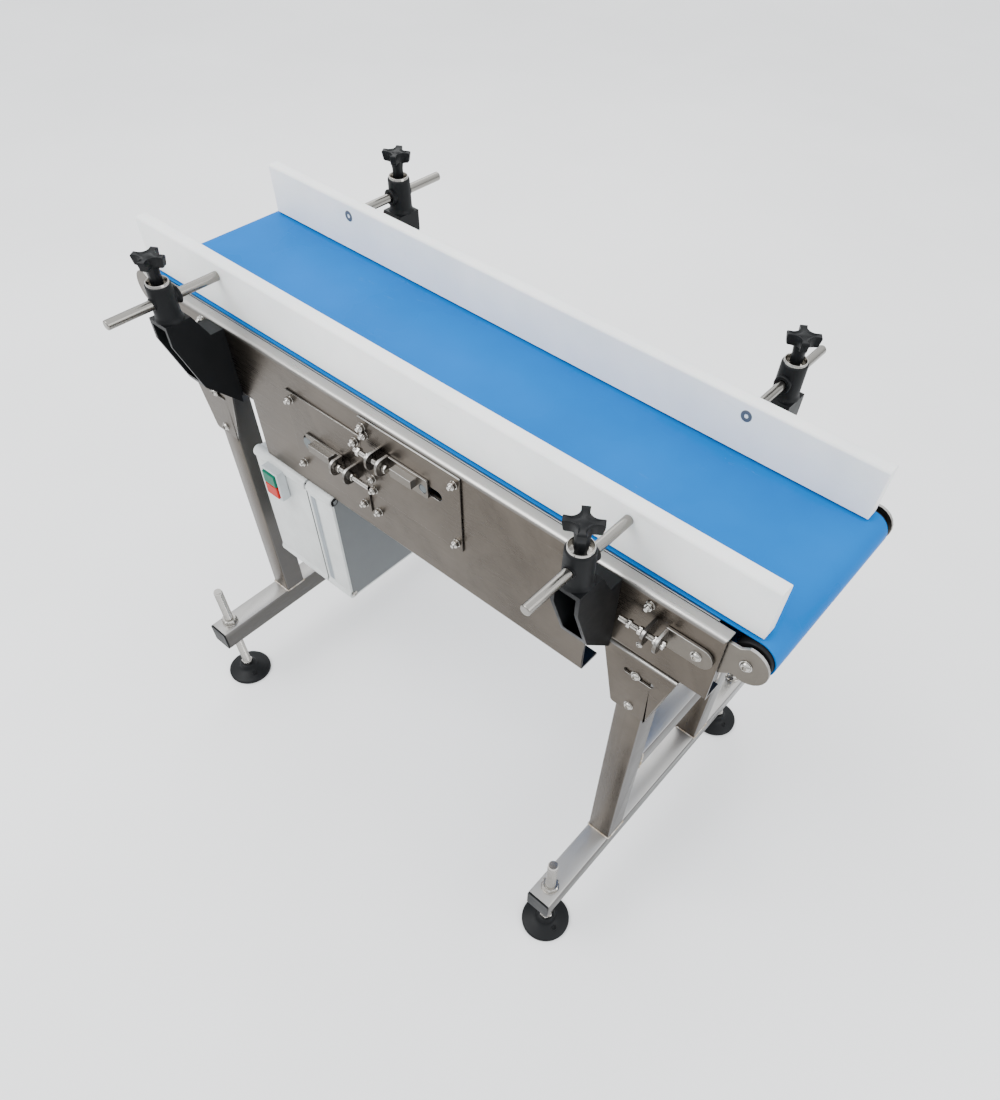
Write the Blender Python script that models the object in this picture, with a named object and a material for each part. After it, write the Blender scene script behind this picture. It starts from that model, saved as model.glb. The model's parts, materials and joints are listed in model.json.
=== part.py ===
"""Belt conveyor section: a short powered slider-bed conveyor on two welded legs.

Metres, +Z up. The origin is on the floor under the middle of the bed. +X runs
along the belt towards the take-up end, and -Y is the side with the controls.
"""
import math

import bmesh
import bpy
from mathutils import Matrix, Vector

# ---------------------------------------------------------------- driving sizes
LENGTH = 1.050            # over the belt, end to end
BELT_WIDTH = 0.250
HEIGHT = 0.725            # floor to the belt's carrying surface
BELT_T = 0.002
GAP = 0.0003              # clearance between neighbouring pieces

END_RADIUS = 0.025        # outside of the belt where it turns round an end roller
END_X = LENGTH / 2 - END_RADIUS
AXIS_Z = HEIGHT - END_RADIUS
END_ROLLER_R = END_RADIUS - BELT_T - GAP
ROLLER_HALF = 0.130       # half the length of an end roller
END_SHAFT_R = 0.0075

DRUM_R = 0.044            # drum motor shell
DRUM_X = -0.167
DRUM_Z = HEIGHT - 0.111
DRUM_HALF = 0.128
DRUM_SHAFT_R = 0.010
SNUB_R = 0.020
SNUB_X = 0.058
SNUB_Z = HEIGHT - 0.055
SNUB_SHAFT_R = 0.006
SHAFT_END_Y = 0.1508      # where the drum and snub shafts end, level with the sliders
DRUM_MOTOR_HALF = 0.100
SHAFT_SLOT_LENGTH = 0.050
SNUB_SLOT_LENGTH = 0.038
SNUB_SLOT_WIDTH = 0.014
ROLLER_WALL = 0.003
ROLLER_END_T = 0.012
DRUM_WALL = 0.004
DRUM_END_T = 0.014

PLATE_IN = 0.142          # inner and outer face of a side plate, from the middle
PLATE_OUT = 0.145
PLATE_HALF = 0.475
PLATE_TOP = HEIGHT - 0.003
PLATE_END_Z = HEIGHT - 0.107
SKIRT_Z = HEIGHT - 0.202
SKIRT_LEFT = -0.290
SKIRT_RIGHT = 0.313
SHEET = 0.003
TOP_FLANGE_Y = 0.128      # how far in each folded edge reaches
END_FLANGE_Y = 0.118
SKIRT_FLANGE_Y = 0.110
BRACKET_FLANGE_Y = 0.104
FOLD_OVERLAP = 0.0015     # joined shapes share this much
TAB_HALF = 0.012          # half the height of an adjuster's tab or lug
TAB_CORNER = 0.010

BED_HALF = 0.455          # slider bed under the carrying run
BED_EDGE = 0.1275
BED_T = 0.002
BED_FLANGE_Z = HEIGHT - 0.030

CHEEK_IN = 0.136          # roller cheeks, inside the side plates
CHEEK_OUT = 0.140
CHEEK_TAIL = ((0.470, AXIS_Z - 0.038), (0.405, AXIS_Z - 0.036), (0.405, AXIS_Z + 0.006),
              (0.430, AXIS_Z + 0.018), (0.4885, AXIS_Z + 0.018))

ADJUST_R = 0.003          # threaded adjusting rods
ADJUST_Y = 0.160
TAB_T = 0.004
TAB_TIP = 0.172
TAKE_UP_Z = HEIGHT - 0.043
TAKE_UP_TAB_X = 0.396
TAKE_UP_LUG_X = 0.413
TAKE_UP_ARM_END = 0.470
TAKE_UP_ROD_END = 0.360
TAKE_UP_PIN_X = 0.453
TAKE_UP_TRAVEL = 0.008    # what the nut between tab and lug leaves free

PLATE_T = 0.0025          # bolted slide plates: left, right, lowest and highest edge
DRUM_PLATE = (-0.199, -0.0545, HEIGHT - 0.167, HEIGHT - 0.040)
SNUB_PLATE = (-0.054, 0.118, HEIGHT - 0.126, HEIGHT - 0.008)
DRUM_TAB_X = -0.072
DRUM_LUG_X = -0.098
DRUM_ROD_END = -0.036
DRUM_ROD_Z = HEIGHT - 0.104
SNUB_TAB_X = -0.020
SNUB_LUG_X = -0.002
SNUB_ROD_END = -0.050
SNUB_ROD_Z = HEIGHT - 0.050
SLIDER_T = 0.003

ARM_IN = PLATE_OUT + GAP  # sliding arms on the outside of the side plates
ARM_OUT = ARM_IN + 0.004
ARM_HALF = 0.014
ARM_CORNER = 0.0135

LEG_X = 0.390
BRACKET_HALF = 0.051      # leg bracket: half width at the top and at the foot
BRACKET_LOW_HALF = 0.026
TUBE = 0.040              # square tube of the legs
TUBE_WALL = 0.002
BRACKET_IN = PLATE_IN + 0.0025
BRACKET_OUT = BRACKET_IN + 0.003
BRACKET_TOP = PLATE_END_Z - GAP
BRACKET_LOW = HEIGHT - 0.213
UPRIGHT_OUT = BRACKET_IN - GAP
UPRIGHT_Y = UPRIGHT_OUT - TUBE / 2
UPRIGHT_TOP = BRACKET_TOP - SHEET - GAP
CROSSBAR_TOP = 0.370
FOOT_BAR_TOP = 0.150
FOOT_BAR_HALF = 0.292
CAP_T = 0.003

FOOT_Y = 0.265
FOOT_PAD_R = 0.040
STUD_R = 0.008
STUD_TIP = FOOT_BAR_TOP + 0.085

GUIDE_HALF = 0.5015       # guide boards
GUIDE_IN = 0.1025
GUIDE_OUT = 0.1225
GUIDE_LOW = HEIGHT + 0.0025
GUIDE_HIGH = HEIGHT + 0.068

CLAMP_X = 0.330
CLAMP_Y = 0.203
ROD_Z = HEIGHT + 0.051
ROD_R = 0.006
ROD_END = 0.283
PLATFORM_Z = HEIGHT + 0.028
CLAMP_HEAD_R = 0.0165
CLAMP_HEAD_TOP = HEIGHT + 0.072
CLAMP_HALF = 0.018        # half the width of a clamp bracket along the belt
CLAMP_WALL = 0.005
CLAMP_TOE_Z = HEIGHT - 0.117
CLAMP_TOP_Z = HEIGHT - 0.005
CLAMP_STEP_Z = PLATE_END_Z + 0.001
CLAMP_OUTSIDE = ((0.196, HEIGHT - 0.069), (0.221, HEIGHT + 0.001), (0.221, PLATFORM_Z))
CLAMP_INSIDE = ((0.184, PLATFORM_Z), (0.1655, CLAMP_TOP_Z))
CLAMP_POCKET = ((0.1515, HEIGHT - 0.1104), (0.1515, HEIGHT - 0.045), (0.1585, HEIGHT - 0.037),
                (0.1877, PLATFORM_Z - 0.006), (0.240, PLATFORM_Z - 0.006), (0.240, HEIGHT - 0.050),
                (0.2082, HEIGHT - 0.0503))
KNOB_LOW = HEIGHT + 0.084
KNOB_HIGH = HEIGHT + 0.107
KNOB_STEM_R = 0.0065
STEM_LOW = ROD_Z + 0.0083
KNOB_MIDDLE_R = 0.0165    # the knob's outline swings this far in and out of its middle radius
KNOB_SWING = 0.0040
KNOB_FLATNESS = 1.8
KNOB_TURN = math.radians(12)

BOX_LEFT = -0.321
BOX_RIGHT = -0.147
BOX_SPLIT = -0.2025
BOX_NEAR = -0.150
BOX_FAR = 0.015
BOX_TOP = SKIRT_Z - GAP
BOX_LOW = 0.307
BOX_WALL = 0.003
BOX_CORNER = 0.008
STATION_X = -0.2685
STATION_Z = 0.493
STATION_DEPTH = 0.016     # how far the push-button frame and its keys stand out
KEY_DEPTH = 0.019
BUTTON_HALF_X = 0.014
BUTTON_H = 0.022

ROUND = 40                # facets round a large round piece
SMALL_ROUND = 20


# ---------------------------------------------------------------- small helpers
def clear_scene():
    for item in list(bpy.data.objects):
        bpy.data.objects.remove(item, do_unlink=True)


def material(name, colour, roughness, metallic=0.0):
    made = bpy.data.materials.new(name)
    made.use_nodes = True
    shader = made.node_tree.nodes["Principled BSDF"]
    shader.inputs["Base Color"].default_value = (*colour, 1.0)
    shader.inputs["Roughness"].default_value = roughness
    shader.inputs["Metallic"].default_value = metallic
    return made


def finish_mesh(name, bm, finish=None):
    bmesh.ops.recalc_face_normals(bm, faces=bm.faces)
    mesh = bpy.data.meshes.new(name)
    bm.to_mesh(mesh)
    bm.free()
    obj = bpy.data.objects.new(name, mesh)
    bpy.context.collection.objects.link(obj)
    if finish is not None:
        mesh.materials.append(finish)
    return obj


def prism(bm, outline, axis, low, high):
    """Closed prism: a 2-D outline pushed along one axis from low to high."""
    def point(a, b, along):
        if axis == "x":
            return (along, a, b)
        if axis == "y":
            return (a, along, b)
        return (a, b, along)

    first = [bm.verts.new(point(a, b, low)) for a, b in outline]
    last = [bm.verts.new(point(a, b, high)) for a, b in outline]
    bm.faces.new(first)
    bm.faces.new(list(reversed(last)))
    count = len(outline)
    for i in range(count):
        j = (i + 1) % count
        bm.faces.new((first[i], first[j], last[j], last[i]))


def slab(low, high):
    """Outline of an upright rectangle between two corners."""
    return [(low[0], low[1]), (high[0], low[1]), (high[0], high[1]), (low[0], high[1])]


def stadium(centre, length, width, steps=8):
    """A slot with round ends, lying along the first direction."""
    half = (length - width) / 2
    points = []
    for side in (1, -1):
        for i in range(steps + 1):
            angle = math.pi * i / steps - side * math.pi / 2
            points.append((centre[0] + side * half + width / 2 * math.cos(angle),
                           centre[1] + width / 2 * math.sin(angle)))
    return points


def rounded(corners, steps=4):
    """Outline whose corners (a, b, radius) are rounded by that radius."""
    points = []
    count = len(corners)
    for i in range(count):
        here = Vector(corners[i][:2])
        radius = corners[i][2]
        if radius <= 0:
            points.append(tuple(here))
            continue
        back = (Vector(corners[i - 1][:2]) - here).normalized()
        ahead = (Vector(corners[(i + 1) % count][:2]) - here).normalized()
        half = math.acos(max(-1.0, min(1.0, back.dot(ahead)))) / 2
        centre = here + (back + ahead).normalized() * (radius / math.sin(half))
        start = here + back * (radius / math.tan(half)) - centre
        end = here + ahead * (radius / math.tan(half)) - centre
        sweep = start.angle_signed(end)
        for k in range(steps + 1):
            turn = -sweep * k / steps
            points.append((centre.x + start.x * math.cos(turn) - start.y * math.sin(turn),
                           centre.y + start.x * math.sin(turn) + start.y * math.cos(turn)))
    return points


def lathe(bm, profile, axis, centre, segments, closed=False):
    """Turned solid. profile holds (radius, along) pairs; open profiles get end caps."""
    rings = []
    for radius, along in profile:
        ring = []
        for i in range(segments):
            angle = 2 * math.pi * i / segments
            a = radius * math.cos(angle)
            b = radius * math.sin(angle)
            if axis == "y":
                place = (centre[0] + a, along, centre[1] + b)
            elif axis == "x":
                place = (along, centre[0] + a, centre[1] + b)
            else:
                place = (centre[0] + a, centre[1] + b, along)
            ring.append(bm.verts.new(place))
        rings.append(ring)
    pairs = list(zip(rings, rings[1:]))
    if closed:
        pairs.append((rings[-1], rings[0]))
    for one, two in pairs:
        for i in range(segments):
            j = (i + 1) % segments
            bm.faces.new((one[i], one[j], two[j], two[i]))
    if not closed:
        bm.faces.new(list(reversed(rings[0])))
        bm.faces.new(rings[-1])


def prism_object(name, outline, axis, low, high, finish=None):
    bm = bmesh.new()
    prism(bm, outline, axis, low, high)
    return finish_mesh(name, bm, finish)


def lathe_object(name, profile, axis, centre, segments, finish=None, closed=False):
    bm = bmesh.new()
    lathe(bm, profile, axis, centre, segments, closed)
    return finish_mesh(name, bm, finish)


def rod_shape(name, axis, centre, radius, low, high, segments=SMALL_ROUND):
    return lathe_object(name, [(radius, low), (radius, high)], axis, centre, segments)


def combine(target, other, operation):
    """Leave a Boolean on target; other becomes a hidden helper."""
    other.hide_render = True
    other.display_type = "WIRE"
    modifier = target.modifiers.new(f"{operation.lower()}_{other.name}", "BOOLEAN")
    modifier.operation = operation
    modifier.solver = "EXACT"
    modifier.object = other


def add_to(target, *others):
    for other in others:
        combine(target, other, "UNION")


def cut_from(target, *others):
    for other in others:
        combine(target, other, "DIFFERENCE")


def smooth(obj, angle=40.0):
    obj.data.shade_smooth()
    obj.data.set_sharp_from_angle(angle=math.radians(angle))


def set_origin(obj, point):
    """Put the object's origin on a point without moving its shape."""
    obj.data.transform(Matrix.Translation(-Vector(point)))
    obj.location = point


def span(side, inner, outer):
    """Low and high Y of something between two distances from the middle plane."""
    return sorted((side * inner, side * outer))


def upright_tab(name, side, inner, middle_z, x):
    """Tab or lug standing out from a plate, with round outer corners."""
    low = middle_z - TAB_HALF
    high = middle_z + TAB_HALF
    outline = rounded([(side * inner, low, 0), (side * TAB_TIP, low, TAB_CORNER),
                       (side * TAB_TIP, high, TAB_CORNER), (side * inner, high, 0)])
    return prism_object(name, outline, "x", x - TAB_T / 2, x + TAB_T / 2)


def drum_slot_outline():
    return stadium((DRUM_X + 0.012, DRUM_Z), SHAFT_SLOT_LENGTH, 2 * DRUM_SHAFT_R + 0.001)


def snub_slot_outline():
    return stadium((SNUB_X + 0.010, SNUB_Z), SNUB_SLOT_LENGTH, SNUB_SLOT_WIDTH)


# ---------------------------------------------------------------- frame
def side_plate(name, side, steel):
    outline = [(-PLATE_HALF, PLATE_TOP), (PLATE_HALF, PLATE_TOP), (PLATE_HALF, PLATE_END_Z),
               (SKIRT_RIGHT, PLATE_END_Z), (SKIRT_RIGHT, SKIRT_Z), (SKIRT_LEFT, SKIRT_Z),
               (SKIRT_LEFT, PLATE_END_Z), (-PLATE_HALF, PLATE_END_Z)]
    plate = prism_object(name, outline, "y", *span(side, PLATE_IN, PLATE_OUT), steel)
    overlap = PLATE_IN + FOLD_OVERLAP
    top_flange = prism_object(f"{name}_top_flange", slab((-PLATE_HALF, PLATE_TOP - SHEET),
                              (PLATE_HALF, PLATE_TOP)), "y", *span(side, TOP_FLANGE_Y, overlap))
    left_flange = prism_object(f"{name}_left_flange", slab((-PLATE_HALF, PLATE_END_Z),
                               (SKIRT_LEFT, PLATE_END_Z + SHEET)), "y",
                               *span(side, END_FLANGE_Y, overlap))
    right_flange = prism_object(f"{name}_right_flange", slab((SKIRT_RIGHT, PLATE_END_Z),
                                (PLATE_HALF, PLATE_END_Z + SHEET)), "y",
                                *span(side, END_FLANGE_Y, overlap))
    low_flange = prism_object(f"{name}_low_flange", slab((SKIRT_LEFT, SKIRT_Z),
                              (SKIRT_RIGHT, SKIRT_Z + SHEET)), "y",
                              *span(side, SKIRT_FLANGE_Y, overlap))
    tab = upright_tab(f"{name}_take_up_tab", side, overlap, TAKE_UP_Z, TAKE_UP_TAB_X)
    add_to(plate, top_flange, left_flange, right_flange, low_flange, tab)
    through = span(side, PLATE_IN - 0.002, PLATE_OUT + 0.002)
    drum_slot = prism_object(f"{name}_drum_slot", drum_slot_outline(), "y", *through)
    snub_slot = prism_object(f"{name}_snub_slot", snub_slot_outline(), "y", *through)
    pin_slot = prism_object(f"{name}_pin_slot", stadium((TAKE_UP_PIN_X - TAKE_UP_TRAVEL / 2, TAKE_UP_Z),
                            TAKE_UP_TRAVEL + 0.011, 0.009), "y", *through)
    rod_hole = rod_shape(f"{name}_rod_hole", "x", (side * ADJUST_Y, TAKE_UP_Z), ADJUST_R + 0.0007,
                         TAKE_UP_TAB_X - 0.006, TAKE_UP_TAB_X + 0.006)
    cut_from(plate, drum_slot, snub_slot, pin_slot, rod_hole)


def slider_bed(steel):
    top = HEIGHT - BELT_T - GAP
    outline = [(-BED_EDGE, BED_FLANGE_Z), (-BED_EDGE + BED_T, BED_FLANGE_Z), (-BED_EDGE + BED_T, top - BED_T),
               (BED_EDGE - BED_T, top - BED_T), (BED_EDGE - BED_T, BED_FLANGE_Z), (BED_EDGE, BED_FLANGE_Z),
               (BED_EDGE, top), (-BED_EDGE, top)]
    prism_object("slider_bed", outline, "x", -BED_HALF, BED_HALF, steel)


def leg_bracket(name, end, side, steel):
    """Folded plate: a level flange under the side plate and a cheek down the upright."""
    middle = end * LEG_X
    cheek_outline = rounded([(middle - BRACKET_HALF, BRACKET_TOP, 0), (middle + BRACKET_HALF, BRACKET_TOP, 0),
                             (middle + BRACKET_LOW_HALF, BRACKET_LOW, 0.005),
                             (middle - BRACKET_LOW_HALF, BRACKET_LOW, 0.005)])
    cheek = prism_object(name, cheek_outline, "y", *span(side, BRACKET_IN, BRACKET_OUT), steel)
    flange = prism_object(f"{name}_flange", slab((middle - BRACKET_HALF, BRACKET_TOP - SHEET),
                          (middle + BRACKET_HALF, BRACKET_TOP)), "y",
                          *span(side, BRACKET_FLANGE_Y, BRACKET_IN + FOLD_OVERLAP))
    add_to(cheek, flange)
    slot = prism_object(f"{name}_slot", stadium((middle + 0.004, HEIGHT - 0.138), 0.042, 0.009),
                        "y", *span(side, BRACKET_IN - 0.002, BRACKET_OUT + 0.002))
    cut_from(cheek, slot)


def square_tube(name, axis, centre, low, high, finish=None):
    """Thin square tube, open at both ends, with a small outside corner radius."""
    half = TUBE / 2
    a, b = centre
    outer = rounded([(a - half, b - half, 0.003), (a + half, b - half, 0.003),
                     (a + half, b + half, 0.003), (a - half, b + half, 0.003)], steps=2)
    tube = prism_object(name, outer, axis, low, high, finish)
    return tube


def tube_hollow(name, axis, centre, low, high):
    half = TUBE / 2 - TUBE_WALL
    a, b = centre
    return prism_object(name, slab((a - half, b - half), (a + half, b + half)), axis, low, high)


def leg_frame(name, end, steel):
    """Welded leg: two uprights, a crossbar and a foot bar of hollow square tube."""
    x = end * LEG_X
    mid_foot = FOOT_BAR_TOP - TUBE / 2
    mid_cross = CROSSBAR_TOP - TUBE / 2
    frame = square_tube(name, "y", (x, mid_foot), -FOOT_BAR_HALF, FOOT_BAR_HALF, steel)
    uprights = []
    hollows = [tube_hollow(f"{name}_foot_hollow", "y", (x, mid_foot), -1.0, 1.0)]
    for side, word in ((-1, "near"), (1, "far")):
        uprights.append(square_tube(f"{name}_upright_{word}", "z", (x, side * UPRIGHT_Y),
                                    FOOT_BAR_TOP - 0.006, UPRIGHT_TOP))
        hollows.append(tube_hollow(f"{name}_upright_hollow_{word}", "z", (x, side * UPRIGHT_Y),
                                   mid_foot, UPRIGHT_TOP + 0.01))
    reach = UPRIGHT_Y - TUBE / 2 + 0.006
    crossbar = square_tube(f"{name}_crossbar", "y", (x, mid_cross), -reach, reach)
    add_to(frame, *uprights, crossbar)
    hollows.append(tube_hollow(f"{name}_cross_hollow", "y", (x, mid_cross), -UPRIGHT_Y, UPRIGHT_Y))
    cut_from(frame, *hollows)
    for side, word in ((-1, "near"), (1, "far")):
        cut_from(frame, rod_shape(f"{name}_stud_hole_{word}", "z", (x, side * FOOT_Y), STUD_R + GAP,
                                  FOOT_BAR_TOP - TUBE - 0.005, FOOT_BAR_TOP + 0.005))


def foot_bar_cap(name, end, side, plastic):
    """Square end plug of a foot bar: a flat head and a spigot inside the tube."""
    x = end * LEG_X
    mid = FOOT_BAR_TOP - TUBE / 2
    half = TUBE / 2
    head = rounded([(x - half, mid - half, 0.003), (x + half, mid - half, 0.003),
                    (x + half, mid + half, 0.003), (x - half, mid + half, 0.003)], steps=2)
    face = FOOT_BAR_HALF + GAP
    cap = prism_object(name, head, "y", *span(side, face, face + CAP_T), plastic)
    inner = half - TUBE_WALL - GAP
    spigot = prism_object(f"{name}_spigot", slab((x - inner, mid - inner), (x + inner, mid + inner)),
                          "y", *span(side, face - 0.008, face + CAP_T / 2))
    add_to(cap, spigot)


def levelling_foot(name, end, side, plastic):
    """Swivel pad with its threaded stud, which runs up through the foot bar."""
    profile = [(FOOT_PAD_R, 0.0), (FOOT_PAD_R, 0.005), (0.034, 0.009), (0.016, 0.014), (0.012, 0.024),
               (STUD_R, 0.024), (STUD_R, STUD_TIP - 0.002), (STUD_R - 0.002, STUD_TIP)]
    centre = (end * LEG_X, side * FOOT_Y)
    foot = lathe_object(name, profile, "z", centre, 32, plastic)
    smooth(foot)
    set_origin(foot, (centre[0], centre[1], 0.0))


# ---------------------------------------------------------------- belt and rollers
def belt_rings(circles):
    """Outer and inner outline of a belt that runs round circles in travel order.

    Each circle is (x, z, radius of the belt's middle line, turn), turn being 1 where
    the belt turns clockwise seen from the front and -1 where it turns the other way.
    """
    count = len(circles)
    headings = []
    for i in range(count):
        x1, z1, r1, s1 = circles[i]
        x2, z2, r2, s2 = circles[(i + 1) % count]
        distance = math.hypot(x2 - x1, z2 - z1)
        heading = math.atan2(z2 - z1, x2 - x1) - math.asin((s1 * r1 - s2 * r2) / distance)
        headings.append(heading)
    outer = []
    inner = []
    for i in range(count):
        x, z, radius, turn = circles[i]
        arrive = headings[i - 1]
        sweep = (turn * (arrive - headings[i])) % (2 * math.pi)
        steps = max(4, round(sweep / math.radians(12)))
        for k in range(steps + 1):
            heading = arrive - turn * sweep * k / steps
            normal = (-math.sin(heading), math.cos(heading))
            for ring, shift in ((outer, BELT_T / 2), (inner, -BELT_T / 2)):
                reach = turn * radius + shift
                ring.append((x + reach * normal[0], z + reach * normal[1]))
    return outer, inner


def belt(rubber):
    half_t = BELT_T / 2
    circles = [(-END_X, AXIS_Z, END_RADIUS - half_t, 1),
               (END_X, AXIS_Z, END_RADIUS - half_t, 1),
               (DRUM_X, DRUM_Z, DRUM_R + GAP + half_t, 1),
               (SNUB_X, SNUB_Z, SNUB_R + GAP + half_t, -1)]
    outer, inner = belt_rings(circles)
    half = BELT_WIDTH / 2
    bm = bmesh.new()
    loops = []
    for ring in (outer, inner):
        for y in (-half, half):
            loops.append([bm.verts.new((x, y, z)) for x, z in ring])
    outer_near, outer_far, inner_near, inner_far = loops
    count = len(outer)
    for i in range(count):
        j = (i + 1) % count
        bm.faces.new((outer_near[i], outer_near[j], outer_far[j], outer_far[i]))
        bm.faces.new((inner_near[i], inner_far[i], inner_far[j], inner_near[j]))
        bm.faces.new((outer_near[j], outer_near[i], inner_near[i], inner_near[j]))
        bm.faces.new((outer_far[i], outer_far[j], inner_far[j], inner_far[i]))
    made = finish_mesh("belt", bm, rubber)
    smooth(made)


def hollow_roller(name, centre, radius, half, bore, wall, end_t, steel):
    """Tube with a thick disc in each end, bored for the shaft."""
    chamfer = 0.001
    profile = [(bore, -half), (radius - chamfer, -half), (radius, chamfer - half), (radius, half - chamfer),
               (radius - chamfer, half), (bore, half), (bore, half - end_t), (radius - wall, half - end_t),
               (radius - wall, end_t - half), (bore, end_t - half)]
    roller = lathe_object(name, profile, "y", centre, ROUND, steel, closed=True)
    smooth(roller)
    set_origin(roller, (centre[0], 0.0, centre[1]))


def shaft(name, centre, radius, half, steel):
    made = lathe_object(name, [(radius, -half), (radius, half)], "y", centre, 24, steel)
    smooth(made)


def drum_motor(steel):
    """Fixed shaft of the motorised drum with the motor body inside the shell."""
    body_r = DRUM_R - 0.007
    profile = [(DRUM_SHAFT_R, -SHAFT_END_Y), (DRUM_SHAFT_R, -DRUM_MOTOR_HALF),
               (body_r, -DRUM_MOTOR_HALF), (body_r, DRUM_MOTOR_HALF), (DRUM_SHAFT_R, DRUM_MOTOR_HALF),
               (DRUM_SHAFT_R, SHAFT_END_Y)]
    made = lathe_object("drum_motor", profile, "y", (DRUM_X, DRUM_Z), 32, steel)
    smooth(made)


def roller_cheek(name, end, side, steel):
    """Plate inside the side plate that carries one end of an end roller's shaft."""
    centre = (END_X, AXIS_Z)
    arc = []
    steps = 14
    start = math.radians(95)
    stop = math.radians(-115)
    for i in range(steps + 1):
        angle = start + (stop - start) * i / steps
        arc.append((centre[0] + END_RADIUS * math.cos(angle), centre[1] + END_RADIUS * math.sin(angle)))
    outline = [*arc, *CHEEK_TAIL]
    if end < 0:
        outline = [(-x, z) for x, z in reversed(outline)]
    prism_object(name, outline, "y", *span(side, CHEEK_IN, CHEEK_OUT), steel)


# ---------------------------------------------------------------- adjusters
def take_up_arm(name, side, steel):
    """Sliding arm with its bent lug, threaded rod and the pin that carries the cheek."""
    high = TAKE_UP_Z + ARM_HALF
    low = TAKE_UP_Z - ARM_HALF
    outline = rounded([(TAKE_UP_LUG_X - TAB_T / 2, low, 0), (TAKE_UP_ARM_END, low, ARM_CORNER),
                       (TAKE_UP_ARM_END, high, ARM_CORNER), (TAKE_UP_LUG_X - TAB_T / 2, high, 0)], steps=6)
    arm = prism_object(name, outline, "y", *span(side, ARM_IN, ARM_OUT), steel)
    lug = upright_tab(f"{name}_lug", side, ARM_IN + 0.001, TAKE_UP_Z, TAKE_UP_LUG_X)
    rod = rod_shape(f"{name}_rod", "x", (side * ADJUST_Y, TAKE_UP_Z), ADJUST_R, TAKE_UP_ROD_END,
                    TAKE_UP_LUG_X + 0.006)
    pin = rod_shape(f"{name}_pin", "y", (TAKE_UP_PIN_X, TAKE_UP_Z), ADJUST_R,
                    *span(side, CHEEK_OUT + GAP, ARM_IN + 0.002))
    add_to(arm, lug, rod, pin)


def slide_plate(name, side, edges, slot, tab_x, rod_z, steel):
    """Bolted plate over a shaft slot, with the fixed tab of its adjuster."""
    left, right, low, high = edges
    inner = PLATE_OUT + GAP
    outer = inner + PLATE_T
    corner = 0.002
    outline = rounded([(left, low, corner), (right, low, corner),
                       (right, high, corner), (left, high, corner)], steps=2)
    plate = prism_object(name, outline, "y", *span(side, inner, outer), steel)
    add_to(plate, upright_tab(f"{name}_tab", side, inner + 0.001, rod_z, tab_x))
    hole = rod_shape(f"{name}_rod_hole", "x", (side * ADJUST_Y, rod_z), ADJUST_R + 0.0007,
                     tab_x - 0.006, tab_x + 0.006)
    opening = prism_object(f"{name}_slot", slot, "y", *span(side, inner - 0.002, outer + 0.002))
    cut_from(plate, hole, opening)


def shaft_slider(name, side, shaft, toward, reach, lug_x, rod_end, rod_z, steel):
    """Flat arm that holds a shaft end, with a stiffening bar, a lug and a threaded rod.

    reach is how far the arm goes past the shaft's axis: a short one leaves an open hook.
    """
    shaft_x, shaft_z, shaft_r = shaft
    inner = PLATE_OUT + GAP + PLATE_T + GAP
    outer = inner + SLIDER_T
    corner = 0.003
    far_end = shaft_x - toward * reach
    low = min(shaft_z, rod_z) - TAB_HALF
    high = max(shaft_z, rod_z) + TAB_HALF - 0.001
    left, right = sorted((far_end, lug_x + toward * TAB_T / 2))
    outline = rounded([(left, low, corner), (right, low, corner),
                       (right, high, corner), (left, high, corner)], steps=2)
    arm = prism_object(name, outline, "y", *span(side, inner, outer), steel)
    bar_left, bar_right = sorted((shaft_x + toward * (shaft_r + 0.004), lug_x - toward * 0.014))
    bar = prism_object(f"{name}_bar", slab((bar_left, rod_z - 0.006), (bar_right, rod_z + 0.006)), "y",
                       *span(side, inner + 0.001, inner + 0.013))
    lug = upright_tab(f"{name}_lug", side, inner + 0.001, rod_z, lug_x)
    rod_low, rod_high = sorted((lug_x - toward * 0.006, rod_end))
    rod = rod_shape(f"{name}_rod", "x", (side * ADJUST_Y, rod_z), ADJUST_R, rod_low, rod_high)
    add_to(arm, bar, lug, rod)
    eye = rod_shape(f"{name}_eye", "y", (shaft_x, shaft_z), shaft_r + GAP,
                    *span(side, inner - 0.002, inner + 0.012))
    cut_from(arm, eye)


# ---------------------------------------------------------------- guides and clamps
def guide_board(name, side, plastic):
    edge = 0.004
    outline = rounded([(side * GUIDE_IN, GUIDE_LOW, 0.0), (side * GUIDE_OUT, GUIDE_LOW, 0.0),
                       (side * GUIDE_OUT, GUIDE_HIGH, edge), (side * GUIDE_IN, GUIDE_HIGH, edge)], steps=3)
    prism_object(name, outline, "x", -GUIDE_HALF, GUIDE_HALF, plastic)


def guide_rod(name, end, side, steel):
    start = GUIDE_OUT + GAP
    tip = side * ROD_END
    profile = [(ROD_R, side * start), (ROD_R, tip - side * 0.001), (ROD_R - 0.001, tip)]
    rod = lathe_object(name, profile, "y", (end * CLAMP_X, ROD_Z), 24, steel)
    smooth(rod)


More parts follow.
